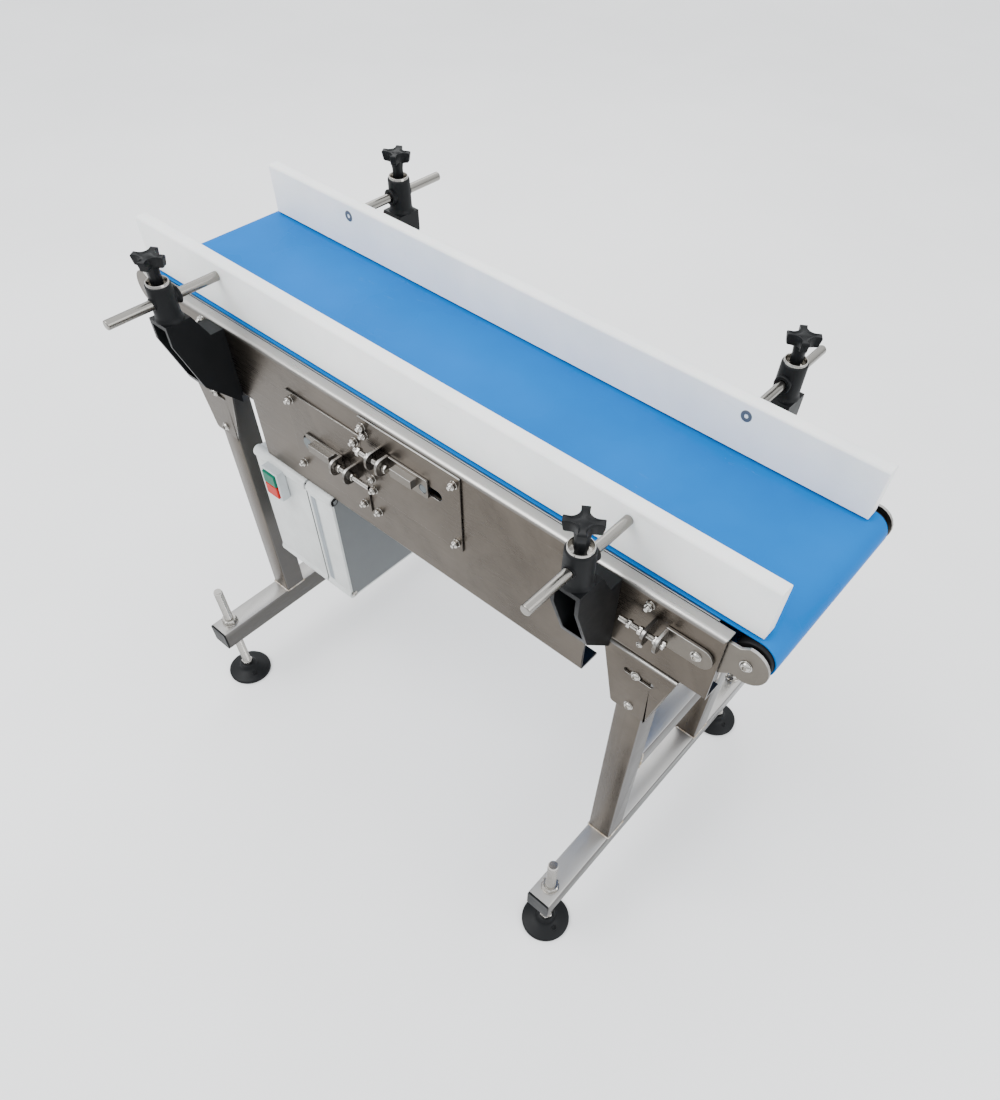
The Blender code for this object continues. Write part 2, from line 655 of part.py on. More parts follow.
def clamp_bracket(name, end, side, plastic):
    """Moulded bracket on the side plate, hollow from outside, with the round clamp head on top."""
    x = end * CLAMP_X
    foot = PLATE_OUT + GAP
    toe = BRACKET_OUT + 2 * GAP
    outline = [(toe, CLAMP_TOE_Z), *CLAMP_OUTSIDE, *CLAMP_INSIDE, (foot, CLAMP_TOP_Z),
               (foot, CLAMP_STEP_Z), (toe, CLAMP_STEP_Z)]
    arm = [(side * y, z) for y, z in outline]
    bracket = prism_object(name, arm, "x", x - CLAMP_HALF, x + CLAMP_HALF, plastic)
    pocket = [(side * y, z) for y, z in CLAMP_POCKET]
    inner_half = CLAMP_HALF - CLAMP_WALL
    cut_from(bracket, prism_object(f"{name}_pocket", pocket, "x", x - inner_half, x + inner_half))
    centre = (x, side * CLAMP_Y)
    head = lathe_object(f"{name}_head", [(CLAMP_HEAD_R, PLATFORM_Z - 0.003), (CLAMP_HEAD_R, CLAMP_HEAD_TOP)],
                        "z", centre, 32)
    add_to(bracket, head)
    rod_hole = rod_shape(f"{name}_rod_hole", "y", (x, ROD_Z), ROD_R + GAP,
                         *span(side, CLAMP_Y - 0.03, CLAMP_Y + 0.03), 24)
    stem_hole = rod_shape(f"{name}_stem_hole", "z", centre, KNOB_STEM_R + GAP, STEM_LOW - GAP,
                          CLAMP_HEAD_TOP + 0.01, 24)
    cut_from(bracket, rod_hole, stem_hole)


def knob_outline(centre):
    """Four broad flat-tipped lobes with scooped sides between them."""
    points = []
    lobes = 4
    per_lobe = 12
    for i in range(lobes * per_lobe):
        angle = 2 * math.pi * i / (lobes * per_lobe) + KNOB_TURN
        wave = math.tanh(KNOB_FLATNESS * math.cos(lobes * angle)) / math.tanh(KNOB_FLATNESS)
        radius = KNOB_MIDDLE_R + KNOB_SWING * wave
        points.append((centre[0] + radius * math.cos(angle), centre[1] + radius * math.sin(angle)))
    return points


def knob(name, end, side, plastic):
    centre = (end * CLAMP_X, side * CLAMP_Y)
    made = prism_object(name, knob_outline(centre), "z", KNOB_LOW, KNOB_HIGH, plastic)
    stem = lathe_object(f"{name}_stem", [(KNOB_STEM_R, STEM_LOW), (KNOB_STEM_R, KNOB_LOW + 0.002)],
                        "z", centre, 24)
    set_origin(made, (centre[0], centre[1], KNOB_LOW))
    add_to(made, stem)


# ---------------------------------------------------------------- controls
def shell_half(name, left, right, open_side, plastic):
    """Half of the control box: a tray with its walls towards the other half."""
    outline = rounded([(BOX_NEAR, BOX_LOW, BOX_CORNER), (BOX_FAR, BOX_LOW, BOX_CORNER),
                       (BOX_FAR, BOX_TOP, BOX_CORNER), (BOX_NEAR, BOX_TOP, BOX_CORNER)])
    half = prism_object(name, outline, "x", left, right, plastic)
    inside = slab((BOX_NEAR + BOX_WALL, BOX_LOW + BOX_WALL), (BOX_FAR - BOX_WALL, BOX_TOP - BOX_WALL))
    if open_side > 0:
        reach = (left + BOX_WALL, right + 0.01)
    else:
        reach = (left - 0.01, right - BOX_WALL)
    cut_from(half, prism_object(f"{name}_inside", inside, "x", *reach))
    return half


def control_box(plastic):
    lid = shell_half("box_lid", BOX_LEFT, BOX_SPLIT - GAP, 1, plastic)
    station = prism_object("box_lid_station_hole", slab((STATION_X - BUTTON_HALF_X - 0.002,
                           STATION_Z - BUTTON_H - 0.002), (STATION_X + BUTTON_HALF_X + 0.002,
                           STATION_Z + BUTTON_H + 0.002)), "y", BOX_NEAR - 0.005, BOX_NEAR + 0.010)
    cut_from(lid, station)
    shell_half("box_base", BOX_SPLIT, BOX_RIGHT, -1, plastic)


def push_button_frame(plastic):
    half_x = BUTTON_HALF_X + 0.004
    half_z = BUTTON_H + 0.004
    face = BOX_NEAR - GAP
    frame = prism_object("push_button_frame", slab((STATION_X - half_x, STATION_Z - half_z),
                         (STATION_X + half_x, STATION_Z + half_z)), "y", face - STATION_DEPTH, face, plastic)
    well = prism_object("push_button_frame_well", slab((STATION_X - BUTTON_HALF_X, STATION_Z - BUTTON_H),
                        (STATION_X + BUTTON_HALF_X, STATION_Z + BUTTON_H)), "y",
                        face - STATION_DEPTH - 0.01, face + 0.01)
    cut_from(frame, well)


def push_button(name, low, plastic):
    """Square key of the start and stop station, standing proud of its frame."""
    front = BOX_NEAR - GAP - KEY_DEPTH
    back = BOX_NEAR + 0.004
    side_gap = 2 * GAP
    outline = slab((STATION_X - BUTTON_HALF_X + side_gap, low + side_gap),
                   (STATION_X + BUTTON_HALF_X - side_gap, low + BUTTON_H - side_gap))
    key = prism_object(name, outline, "y", front, back, plastic)
    set_origin(key, (STATION_X, front, low + BUTTON_H / 2))


# ---------------------------------------------------------------- assembly
def build():
    clear_scene()
    steel = material("brushed_steel", (0.56, 0.53, 0.49), 0.32, 1.0)
    bright = material("bright_steel", (0.70, 0.69, 0.67), 0.22, 1.0)
    blue = material("blue_belt", (0.01, 0.27, 0.78), 0.28)
    white = material("white_board", (0.86, 0.87, 0.85), 0.45)
    black = material("black_plastic", (0.02, 0.02, 0.022), 0.50)
    grey = material("grey_plastic", (0.74, 0.77, 0.78), 0.45)
    pale = material("pale_plastic", (0.80, 0.82, 0.82), 0.40)
    green = material("green_plastic", (0.02, 0.36, 0.22), 0.40)
    red = material("red_plastic", (0.80, 0.06, 0.04), 0.40)

    slider_bed(steel)
    belt(blue)
    end_bore = END_SHAFT_R + GAP
    for name, x in (("fixed_end_roller", -END_X), ("take_up_roller", END_X)):
        hollow_roller(name, (x, AXIS_Z), END_ROLLER_R, ROLLER_HALF, end_bore,
                      ROLLER_WALL, ROLLER_END_T, steel)
    hollow_roller("drive_drum", (DRUM_X, DRUM_Z), DRUM_R, DRUM_HALF, DRUM_SHAFT_R + GAP,
                  DRUM_WALL, DRUM_END_T, steel)
    hollow_roller("snub_roller", (SNUB_X, SNUB_Z), SNUB_R, DRUM_HALF, SNUB_SHAFT_R + GAP,
                  ROLLER_WALL, ROLLER_END_T, steel)
    shaft("fixed_end_shaft", (-END_X, AXIS_Z), END_SHAFT_R, CHEEK_IN - GAP, bright)
    shaft("take_up_shaft", (END_X, AXIS_Z), END_SHAFT_R, CHEEK_IN - GAP, bright)
    shaft("snub_shaft", (SNUB_X, SNUB_Z), SNUB_SHAFT_R, SHAFT_END_Y, bright)
    drum_motor(bright)

    drum_shaft = (DRUM_X, DRUM_Z, DRUM_SHAFT_R)
    snub_shaft = (SNUB_X, SNUB_Z, SNUB_SHAFT_R)
    for side, word in ((-1, "near"), (1, "far")):
        side_plate(f"side_plate_{word}", side, steel)
        roller_cheek(f"fixed_cheek_{word}", -1, side, bright)
        roller_cheek(f"take_up_cheek_{word}", 1, side, bright)
        take_up_arm(f"take_up_arm_{word}", side, bright)
        slide_plate(f"drum_slide_plate_{word}", side, DRUM_PLATE, drum_slot_outline(), DRUM_TAB_X,
                    DRUM_ROD_Z, steel)
        slide_plate(f"snub_slide_plate_{word}", side, SNUB_PLATE, snub_slot_outline(), SNUB_TAB_X,
                    SNUB_ROD_Z, steel)
        shaft_slider(f"drum_slider_{word}", side, drum_shaft, 1, 0.002, DRUM_LUG_X, DRUM_ROD_END,
                     DRUM_ROD_Z, bright)
        shaft_slider(f"snub_slider_{word}", side, snub_shaft, -1, 0.0085, SNUB_LUG_X, SNUB_ROD_END,
                     SNUB_ROD_Z, bright)
        guide_board(f"guide_{word}", side, white)
        for end, place in ((-1, "left"), (1, "right")):
            leg_bracket(f"leg_bracket_{place}_{word}", end, side, steel)
            foot_bar_cap(f"foot_bar_cap_{place}_{word}", end, side, black)
            levelling_foot(f"levelling_foot_{place}_{word}", end, side, black)
            guide_rod(f"guide_rod_{place}_{word}", end, side, bright)
            clamp_bracket(f"clamp_bracket_{place}_{word}", end, side, black)
            knob(f"knob_{place}_{word}", end, side, black)
    leg_frame("leg_frame_left", -1, steel)
    leg_frame("leg_frame_right", 1, steel)

    control_box(pale)
    push_button_frame(grey)
    push_button("start_button", STATION_Z, green)
    push_button("stop_button", STATION_Z - BUTTON_H, red)


build()
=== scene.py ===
"""The looks of the belt conveyor section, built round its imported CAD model."""
import json
import math

import bmesh
import bpy
from mathutils import Matrix, Vector

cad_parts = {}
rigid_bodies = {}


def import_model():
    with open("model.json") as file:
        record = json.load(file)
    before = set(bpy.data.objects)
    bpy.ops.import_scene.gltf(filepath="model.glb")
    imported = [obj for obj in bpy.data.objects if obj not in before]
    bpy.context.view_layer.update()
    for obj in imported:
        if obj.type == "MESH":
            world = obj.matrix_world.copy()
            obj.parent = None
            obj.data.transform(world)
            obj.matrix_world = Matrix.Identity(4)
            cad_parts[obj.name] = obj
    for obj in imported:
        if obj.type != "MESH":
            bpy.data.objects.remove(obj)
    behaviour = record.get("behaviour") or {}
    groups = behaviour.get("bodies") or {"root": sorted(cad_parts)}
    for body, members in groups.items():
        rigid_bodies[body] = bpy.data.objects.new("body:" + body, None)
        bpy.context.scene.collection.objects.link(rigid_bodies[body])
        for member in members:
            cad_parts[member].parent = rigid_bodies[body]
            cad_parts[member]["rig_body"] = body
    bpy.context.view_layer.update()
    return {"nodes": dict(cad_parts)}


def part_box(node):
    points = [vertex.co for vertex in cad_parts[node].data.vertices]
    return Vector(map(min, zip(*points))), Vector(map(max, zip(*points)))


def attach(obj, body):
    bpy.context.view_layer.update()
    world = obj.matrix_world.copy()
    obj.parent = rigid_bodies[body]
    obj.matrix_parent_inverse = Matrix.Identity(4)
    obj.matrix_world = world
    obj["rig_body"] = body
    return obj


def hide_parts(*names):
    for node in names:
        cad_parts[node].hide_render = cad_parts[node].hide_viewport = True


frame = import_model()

MM = 0.001

# ------------------------------------------------------------ places read from the frame
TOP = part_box("belt")[1].z
BELT_T = 2 * MM
END_R = 25 * MM
X, Y, Z = Vector((1, 0, 0)), Vector((0, 1, 0)), Vector((0, 0, 1))
SIDES = (("near", -1), ("far", 1))
ENDS = ("left", "right")


def middle(node):
    low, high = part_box(node)
    return (low + high) / 2


# ------------------------------------------------------------ materials
class Look:
    """One procedural material, with shortcuts for the nodes that vary it."""

    def __init__(self, name, colour, roughness, metallic=0.0, **sockets):
        self.material = bpy.data.materials.new(name)
        self.material.use_nodes = True
        self.tree = self.material.node_tree
        self.shader = self.tree.nodes["Principled BSDF"]
        self.set("Base Color", (*colour, 1.0))
        self.set("Roughness", roughness)
        self.set("Metallic", metallic)
        for socket, value in sockets.items():
            self.set(socket.replace("_", " "), value)
        self.place = self.tree.nodes.new("ShaderNodeTexCoord").outputs["Object"]
        self.normal = self.tree.nodes.new("ShaderNodeNewGeometry").outputs["Normal"]
        self.last_bump = None

    def set(self, socket, value):
        self.shader.inputs[socket].default_value = value

    def link(self, source, target):
        self.tree.links.new(source, target)

    def noise(self, scale, stretch=(1, 1, 1), detail=3.0, roughness=0.55, distortion=0.0):
        mapping = self.tree.nodes.new("ShaderNodeMapping")
        mapping.inputs["Scale"].default_value = stretch
        self.link(self.place, mapping.inputs["Vector"])
        made = self.tree.nodes.new("ShaderNodeTexNoise")
        for socket, value in (("Scale", scale), ("Detail", detail), ("Roughness", roughness),
                              ("Distortion", distortion)):
            made.inputs[socket].default_value = value
        self.link(mapping.outputs["Vector"], made.inputs["Vector"])
        return made.outputs["Fac"]

    def range(self, source, low, high, to_low=0.0, to_high=1.0):
        made = self.tree.nodes.new("ShaderNodeMapRange")
        self.link(source, made.inputs["Value"])
        for socket, value in (("From Min", low), ("From Max", high),
                              ("To Min", to_low), ("To Max", to_high)):
            made.inputs[socket].default_value = value
        return made.outputs["Result"]

    def math(self, operation, a, b):
        made = self.tree.nodes.new("ShaderNodeMath")
        made.operation = operation
        for i, value in enumerate((a, b)):
            if isinstance(value, (int, float)):
                made.inputs[i].default_value = value
            else:
                self.link(value, made.inputs[i])
        return made.outputs["Value"]

    def mix(self, factor, one, two):
        made = self.tree.nodes.new("ShaderNodeMix")
        made.data_type = "RGBA"
        self.link(factor, made.inputs["Factor"])
        for socket, value in (("A", one), ("B", two)):
            target = next(s for s in made.inputs if s.name == socket and s.type == "RGBA")
            if isinstance(value, tuple):
                target.default_value = (*value, 1.0)
            else:
                self.link(value, target)
        return next(s for s in made.outputs if s.type == "RGBA")

    def part_of(self, vector, axis):
        made = self.tree.nodes.new("ShaderNodeSeparateXYZ")
        self.link(vector, made.inputs["Vector"])
        return made.outputs[axis]

    def bump(self, height, strength, distance):
        made = self.tree.nodes.new("ShaderNodeBump")
        made.inputs["Strength"].default_value = strength
        made.inputs["Distance"].default_value = distance
        self.link(height, made.inputs["Height"])
        if self.last_bump is not None:
            self.link(self.last_bump, made.inputs["Normal"])
        self.last_bump = made.outputs["Normal"]
        self.link(self.last_bump, self.shader.inputs["Normal"])

    def colour(self, source):
        self.link(source, self.shader.inputs["Base Color"])

    def roughness(self, source):
        self.link(source, self.shader.inputs["Roughness"])


# Painted light: the tone laid on steel faces turned along X, standing in for how those faces are lit.
PAINTED_X_FACE_TONE = (0.10, 0.10, 0.10)


def sheet_steel(name, stretch, side_tone, painted_top_light_tone, smudge_and_reflection_tone, roughness=0.30, painted_x_face_tone=PAINTED_X_FACE_TONE):
    """Satin stainless: fine grain along one way, soft smudges mixed with painted reflection mottling, a
    painted highlight where it faces up and a painted light tone on faces turned along X.
    """
    look = Look(name, side_tone, roughness, 1.0)
    grain = look.noise(1.0, stretch, detail=4.0, roughness=0.7)
    # Smudge and stain noise darken the tone in patches: partly real smudges, partly painted reflection
    # mottling.
    smudge_and_reflection = look.noise(7.0, detail=4.0, roughness=0.6, distortion=0.6)
    tone = look.mix(look.range(smudge_and_reflection, 0.36, 0.66), smudge_and_reflection_tone, side_tone)
    stain_and_reflection = look.noise(3.2, (1, 1, 1.6), detail=3.0)
    tone = look.mix(look.range(stain_and_reflection, 0.50, 0.70, 0.0, 0.45), tone, smudge_and_reflection_tone)
    # Painted light: faces turned along X are mixed towards a painted tone for how they are lit.
    x_face_light_mask = look.math("ABSOLUTE", look.part_of(look.normal, "X"), 0.0)
    tone = look.mix(look.range(x_face_light_mask, 0.5, 0.95, 0.0, 0.65), tone, painted_x_face_tone)
    # Painted highlight: faces turned up are mixed towards a paler tone, as if lit from above.
    tone = look.mix(look.range(look.part_of(look.normal, "Z"), 0.10, 0.80), tone, painted_top_light_tone)
    look.colour(tone)
    wear = look.math("ADD", look.range(grain, 0.3, 0.7, -0.07, 0.07),
                     look.range(smudge_and_reflection, 0.3, 0.7, roughness - 0.05, roughness + 0.10))
    look.roughness(wear)
    look.bump(grain, 0.16, 0.05 * MM)
    look.bump(smudge_and_reflection, 0.10, 0.6 * MM)
    return look.material


def turned_steel(name, tone, roughness, grain=(900, 900, 60), metallic=1.0):
    """Bright stainless of screws, nuts, rods and pins."""
    look = Look(name, tone, roughness, metallic)
    fine = look.noise(1.0, grain, detail=3.0)
    spots = look.noise(90.0, detail=3.0)
    dark = tuple(c * 0.62 for c in tone)
    look.colour(look.mix(look.range(spots, 0.62, 0.80, 0.0, 0.40), tone, dark))
    look.roughness(look.range(fine, 0.3, 0.7, roughness - 0.03, roughness + 0.05))
    look.bump(fine, 0.04, 0.03 * MM)
    return look.material


def moulded(name, tone, worn, roughness, texture=1400.0, depth=0.06, **sockets):
    """Moulded plastic: a fine eroded texture, faint mottling and paler rubbed spots."""
    look = Look(name, tone, roughness, **sockets)
    fine = look.noise(texture, detail=2.0)
    cloud = look.noise(26.0, detail=4.0, roughness=0.6)
    rub = look.noise(11.0, (1, 1, 0.5), detail=5.0, roughness=0.7)
    base = look.mix(look.range(cloud, 0.35, 0.65), tuple(c * 0.86 for c in tone), tone)
    look.colour(look.mix(look.range(rub, 0.60, 0.78, 0.0, 0.8), base, worn))
    look.roughness(look.range(cloud, 0.3, 0.7, roughness - 0.06, roughness + 0.08))
    look.bump(fine, 0.22, depth * MM)
    return look.material


def belt_look():
    """Glossy blue polyurethane with faint scuffs along and across the run."""
    look = Look("blue_belt_look", (0.0, 0.125, 0.42), 0.32, Specular_IOR_Level=0.05, IOR=1.20)
    cloud = look.noise(5.0, detail=3.0)
    tone = look.mix(look.range(cloud, 0.35, 0.68), (0.0, 0.115, 0.39), (0.0, 0.135, 0.45))
    scuff = look.noise(1.0, (34, 110, 60), detail=6.0, roughness=0.75, distortion=0.8)
    patch = look.noise(9.0, detail=2.0)
    marks = look.math("MULTIPLY", look.range(scuff, 0.60, 0.74), look.range(patch, 0.52, 0.66))
    look.colour(look.mix(look.math("MULTIPLY", marks, 0.35), tone, (0.12, 0.26, 0.46)))
    look.roughness(look.math("ADD", look.range(cloud, 0.3, 0.7, 0.22, 0.34),
                             look.math("MULTIPLY", marks, 0.2)))
    look.bump(look.noise(1.0, (1500, 900, 900), detail=2.0), 0.10, 0.05 * MM)
    look.bump(cloud, 0.12, 0.8 * MM)
    return look.material


def board_look():
    """Milky white polyethylene: slightly translucent, with saw marks and grey scuffs."""
    look = Look("white_board_look", (0.86, 0.87, 0.86), 0.42,
                Subsurface_Weight=0.12, Subsurface_Scale=6 * MM)
    cloud = look.noise(12.0, detail=4.0)
    tone = look.mix(look.range(cloud, 0.35, 0.7), (0.80, 0.82, 0.82), (0.89, 0.895, 0.885))
    scuff = look.noise(1.0, (18, 120, 90), detail=6.0, roughness=0.7, distortion=0.5)
    look.colour(look.mix(look.range(scuff, 0.62, 0.80, 0.0, 0.5), tone, (0.62, 0.63, 0.60)))
    look.roughness(look.range(cloud, 0.3, 0.7, 0.34, 0.52))
    look.bump(look.noise(1.0, (60, 1800, 1800), detail=2.0), 0.08, 0.06 * MM)
    return look.material


def weld_look():
    look = Look("weld_look", (0.50, 0.46, 0.41), 0.34, 1.0)
    heat = look.noise(120.0, detail=3.0)
    look.colour(look.mix(look.range(heat, 0.40, 0.65), (0.30, 0.24, 0.17), (0.62, 0.59, 0.55)))
    look.roughness(look.range(heat, 0.3, 0.7, 0.28, 0.5))
    look.bump(heat, 0.2, 0.2 * MM)
    return look.material


def floor_look():
    look = Look("floor_look", (0.88, 0.88, 0.88), 0.75)
    cloud = look.noise(1.3, detail=3.0)
    look.colour(look.mix(look.range(cloud, 0.35, 0.65), (0.86, 0.86, 0.86), (0.90, 0.90, 0.90)))
    look.roughness(look.range(cloud, 0.3, 0.7, 0.70, 0.80))
    return look.material


# Second tone: smudges and painted reflection mottling; third tone: a painted highlight for faces turned
# up.
BROWN, SMUDGE_AND_REFLECTION_TONE, PAINTED_TOP_LIGHT = (0.108, 0.092, 0.075), (0.064, 0.053, 0.042), (0.40, 0.39, 0.375)
STEEL_X = sheet_steel("sheet_steel_look", (14, 900, 900), BROWN, PAINTED_TOP_LIGHT, SMUDGE_AND_REFLECTION_TONE)
STEEL_Y = sheet_steel("bar_steel_look", (900, 14, 900), BROWN, PAINTED_TOP_LIGHT, SMUDGE_AND_REFLECTION_TONE, 0.42)
STEEL_Z = sheet_steel("upright_steel_look", (900, 900, 14), BROWN, PAINTED_TOP_LIGHT, SMUDGE_AND_REFLECTION_TONE)
# The cheeks' last tone is a lighter painted light tone on faces turned along X.
CHEEK_STEEL = sheet_steel("cheek_steel_look", (300, 900, 500), (0.150, 0.135, 0.115), PAINTED_TOP_LIGHT,
                          (0.105, 0.094, 0.080), 0.30, (0.20, 0.19, 0.18))
BRIGHT = turned_steel("bright_steel_look", (0.42, 0.405, 0.38), 0.17)
ROD_STEEL = turned_steel("rod_steel_look", (0.25, 0.24, 0.222), 0.22, (1200, 40, 1200))
SHAFT_STEEL = turned_steel("shaft_steel_look", (0.115, 0.13, 0.135), 0.40)
SCREW_STEEL = turned_steel("screw_steel_look", (0.12, 0.13, 0.14), 0.45, (900, 900, 60), 0.35)
# Painted shade: near-black steel for the upward ledges inside the side plates, which lie in shade.
PAINTED_SHADE_STEEL = sheet_steel("painted_shade_steel_look", (14, 900, 900), (0.055, 0.050, 0.044), (0.050, 0.046, 0.042),
                     (0.035, 0.031, 0.027), 0.62, (0.05, 0.05, 0.05))
WELD = weld_look()
BELT = belt_look()
BOARD = board_look()
BLACK = moulded("black_plastic_look", (0.0040, 0.0046, 0.0054), (0.012, 0.013, 0.014), 0.46,
                Specular_IOR_Level=0.17)
RUBBER = moulded("black_rubber_look", (0.0045, 0.0045, 0.005), (0.013, 0.013, 0.013), 0.58, 500.0, 0.12,
                 Specular_IOR_Level=0.20)
PALE_PLASTIC = moulded("pale_plastic_look", (0.58, 0.60, 0.59), (0.50, 0.515, 0.505), 0.36, 1600.0, 0.03)
GREY_PLASTIC = moulded("grey_plastic_look", (0.50, 0.535, 0.55), (0.42, 0.455, 0.47), 0.40, 1600.0, 0.03)
# Painted shade: a dark grey sheet for the box's +X face, which stands in shade.
PAINTED_SHADE_SHEET = moulded("painted_shade_sheet_look", (0.105, 0.115, 0.118), (0.090, 0.098, 0.101), 0.48, 900.0, 0.04)
STRIPE = moulded("grey_stripe_look", (0.22, 0.25, 0.275), (0.185, 0.21, 0.235), 0.45, 900.0, 0.04)
GREEN = moulded("green_plastic_look", (0.0, 0.13, 0.075), (0.03, 0.20, 0.13), 0.40, 1600.0, 0.03,
                Specular_IOR_Level=0.15)
RED = moulded("red_plastic_look", (0.46, 0.014, 0.008), (0.52, 0.05, 0.03), 0.40, 1600.0, 0.03,
              Specular_IOR_Level=0.15)


# ------------------------------------------------------------ mesh helpers
def publish(name, bm, looks, body, replaced=(), width=0.0, segments=2, smooth=38.0, clamped=True):
    """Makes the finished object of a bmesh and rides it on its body."""
    bmesh.ops.recalc_face_normals(bm, faces=bm.faces)
    mesh = bpy.data.meshes.new(name)
    bm.to_mesh(mesh)
    bm.free()
    for look in looks if isinstance(looks, (list, tuple)) else (looks,):
        mesh.materials.append(look)
    mesh.shade_smooth()
    mesh.set_sharp_from_angle(angle=math.radians(smooth))
    obj = bpy.data.objects.new(name, mesh)
    bpy.context.collection.objects.link(obj)
    if width > 0:
        bevel = obj.modifiers.new("edges", "BEVEL")
        bevel.width = width
        bevel.segments = segments
        bevel.limit_method = "WEIGHT"
        bevel.harden_normals = True
        bevel.use_clamp_overlap = clamped
    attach(obj, body)
    if replaced:
        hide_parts(*replaced)
    return obj


def cad_mesh(node):
    """A clean copy of a CAD node's faces, with its flat faces whole again."""
    source = frame["nodes"][node].data
    bm = bmesh.new()
    points = [bm.verts.new(v.co) for v in source.vertices]
    for polygon in source.polygons:
        bm.faces.new([points[i] for i in polygon.vertices])
    bmesh.ops.remove_doubles(bm, verts=bm.verts, dist=0.01 * MM)
    bmesh.ops.dissolve_limit(bm, angle_limit=math.radians(0.3), verts=bm.verts, edges=bm.edges,
                             use_dissolve_boundaries=False)
    return bm


def weigh_edges(bm, width, widest, special=None, sharp=28.0):
    """Marks the outside edges to round, each by width, or as special says in metres."""
    layer = bm.edges.layers.float.new("bevel_weight_edge")
    for edge in bm.edges:
        if len(edge.link_faces) != 2:
            continue
        angle = edge.calc_face_angle_signed(0.0)
        if angle < math.radians(sharp):
            continue
        wanted = special(edge) if special else None
        edge[layer] = (width if wanted is None else wanted) / widest


def refine(node, looks, width, special=None, widest=None, pick=None, segments=2, smooth=38.0,
           clamped=True):
    """Stands for a CAD node with the same shape, its edges rounded as real ones are."""
    bm = cad_mesh(node)
    widest = widest or width
    bmesh.ops.recalc_face_normals(bm, faces=bm.faces)
    weigh_edges(bm, width, widest, special)
    if pick:
        for face in bm.faces:
            face.material_index = pick(face)
    body = frame["nodes"][node]["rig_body"]
    return publish(f"{node}_shape", bm, looks, body, (node,), widest, segments, smooth, clamped)


def towards(direction, origin):
    """Matrix that stands local +Z along a direction from an origin."""
    turn = Z.rotation_difference(Vector(direction).normalized()).to_matrix().to_4x4()
    return Matrix.Translation(Vector(origin)) @ turn


def turned(bm, profile, place, segments=32, shape=None, closed=False, look=0):
    """Turned solid of (radius, height) pairs; shape(angle, radius) may vary the radius."""
    rings = []
    for radius, height in profile:
        ring = []
        for i in range(segments):
            angle = 2 * math.pi * i / segments
            reach = shape(angle, radius) if shape else radius
            point = Vector((reach * math.cos(angle), reach * math.sin(angle), height))
            ring.append(bm.verts.new(place @ point))
        rings.append(ring)
    faces = []
    pairs = list(zip(rings, rings[1:]))
    if closed:
        pairs.append((rings[-1], rings[0]))
    for one, two in pairs:
        for i in range(segments):
            j = (i + 1) % segments
            faces.append(bm.faces.new((one[i], one[j], two[j], two[i])))
    if not closed:
        faces.append(bm.faces.new(list(reversed(rings[0]))))
        faces.append(bm.faces.new(rings[-1]))
    for face in faces:
        face.material_index = look


def hexagon(across):
    """Shape function of a hex nut whose corners are cut by its chamfer."""
    apothem = across / 2

    def reach(angle, limit):
        turn = math.radians(60)
        off = (angle % turn) - turn / 2
        return min(apothem / math.cos(off), limit)
    return reach


def nut(bm, place, across, height, low=0.0):
    flat = across / 2
    corner = flat / math.cos(math.radians(30))
    cut = (corner - flat) * 0.62
    face = flat * 0.97
    turned(bm, [(face, low), (corner, low + cut), (corner, low + height - cut), (face, low + height)],
           place, 36, hexagon(across))


def washer(bm, place, radius, height, low=0.0):
    edge = height * 0.25
    turned(bm, [(radius - edge, low), (radius, low + edge), (radius, low + height - edge),
                (radius - edge, low + height)], place, 32)


def screw_end(bm, place, radius, low, high, pitch=0.8 * MM):
    """A threaded end: crests and roots up to a chamfered tip."""
    profile = [(radius * 0.9, low)]
    count = max(1, int((high - low) / pitch) - 1)
    for i in range(count):
        profile.append((radius, low + (i + 0.35) * pitch))
        profile.append((radius * 0.88, low + (i + 0.85) * pitch))
    profile.append((radius * 0.80, high))
    turned(bm, profile, place, 20)


def nut_set(bm, origin, direction, across=9.4 * MM, tall=4.6 * MM, thread=3 * MM, out=4.2 * MM):
    """Washer, hex nut and the end of its screw, standing on a face."""
    place = towards(direction, origin)
    washer(bm, place, across * 0.62, 1.0 * MM)
    nut(bm, place, across, tall, 1.0 * MM)
    screw_end(bm, place, thread, tall, tall + 1.0 * MM + out)


def socket_screw(bm, origin, direction, radius, tall):
    """Button-head screw on its washer, with a real hexagon socket in the dome."""
    place = towards(direction, origin)
    washer(bm, place, radius * 1.22, 0.8 * MM)
    key = radius * 0.46
    low = 0.8 * MM
    dome = [(radius * 0.98, low), (radius, low + tall * 0.18), (radius * 0.93, low + tall * 0.50),
            (radius * 0.78, low + tall * 0.80), (key * 1.25, low + tall)]
    turned(bm, dome + [(key * 1.15, low + tall), (key * 1.15, low + tall * 0.3)], place, 36,
           lambda angle, limit: min(limit, limit if limit > key * 1.2 else key / math.cos(
               (angle % math.radians(60)) - math.radians(30))))


def thread(bm, origin, direction, root, crest, length, pitch):
    """A cut thread as close rings, with a chamfer at both ends."""
    profile = [(root * 0.92, 0.0)]
    for i in range(int(length / pitch) - 1):
        base = (i + 0.5) * pitch
        profile += [(root, base), (crest, base + pitch * 0.4), (crest, base + pitch * 0.6)]
    profile.append((root * 0.92, length))
    turned(bm, profile, towards(direction, origin), 20)


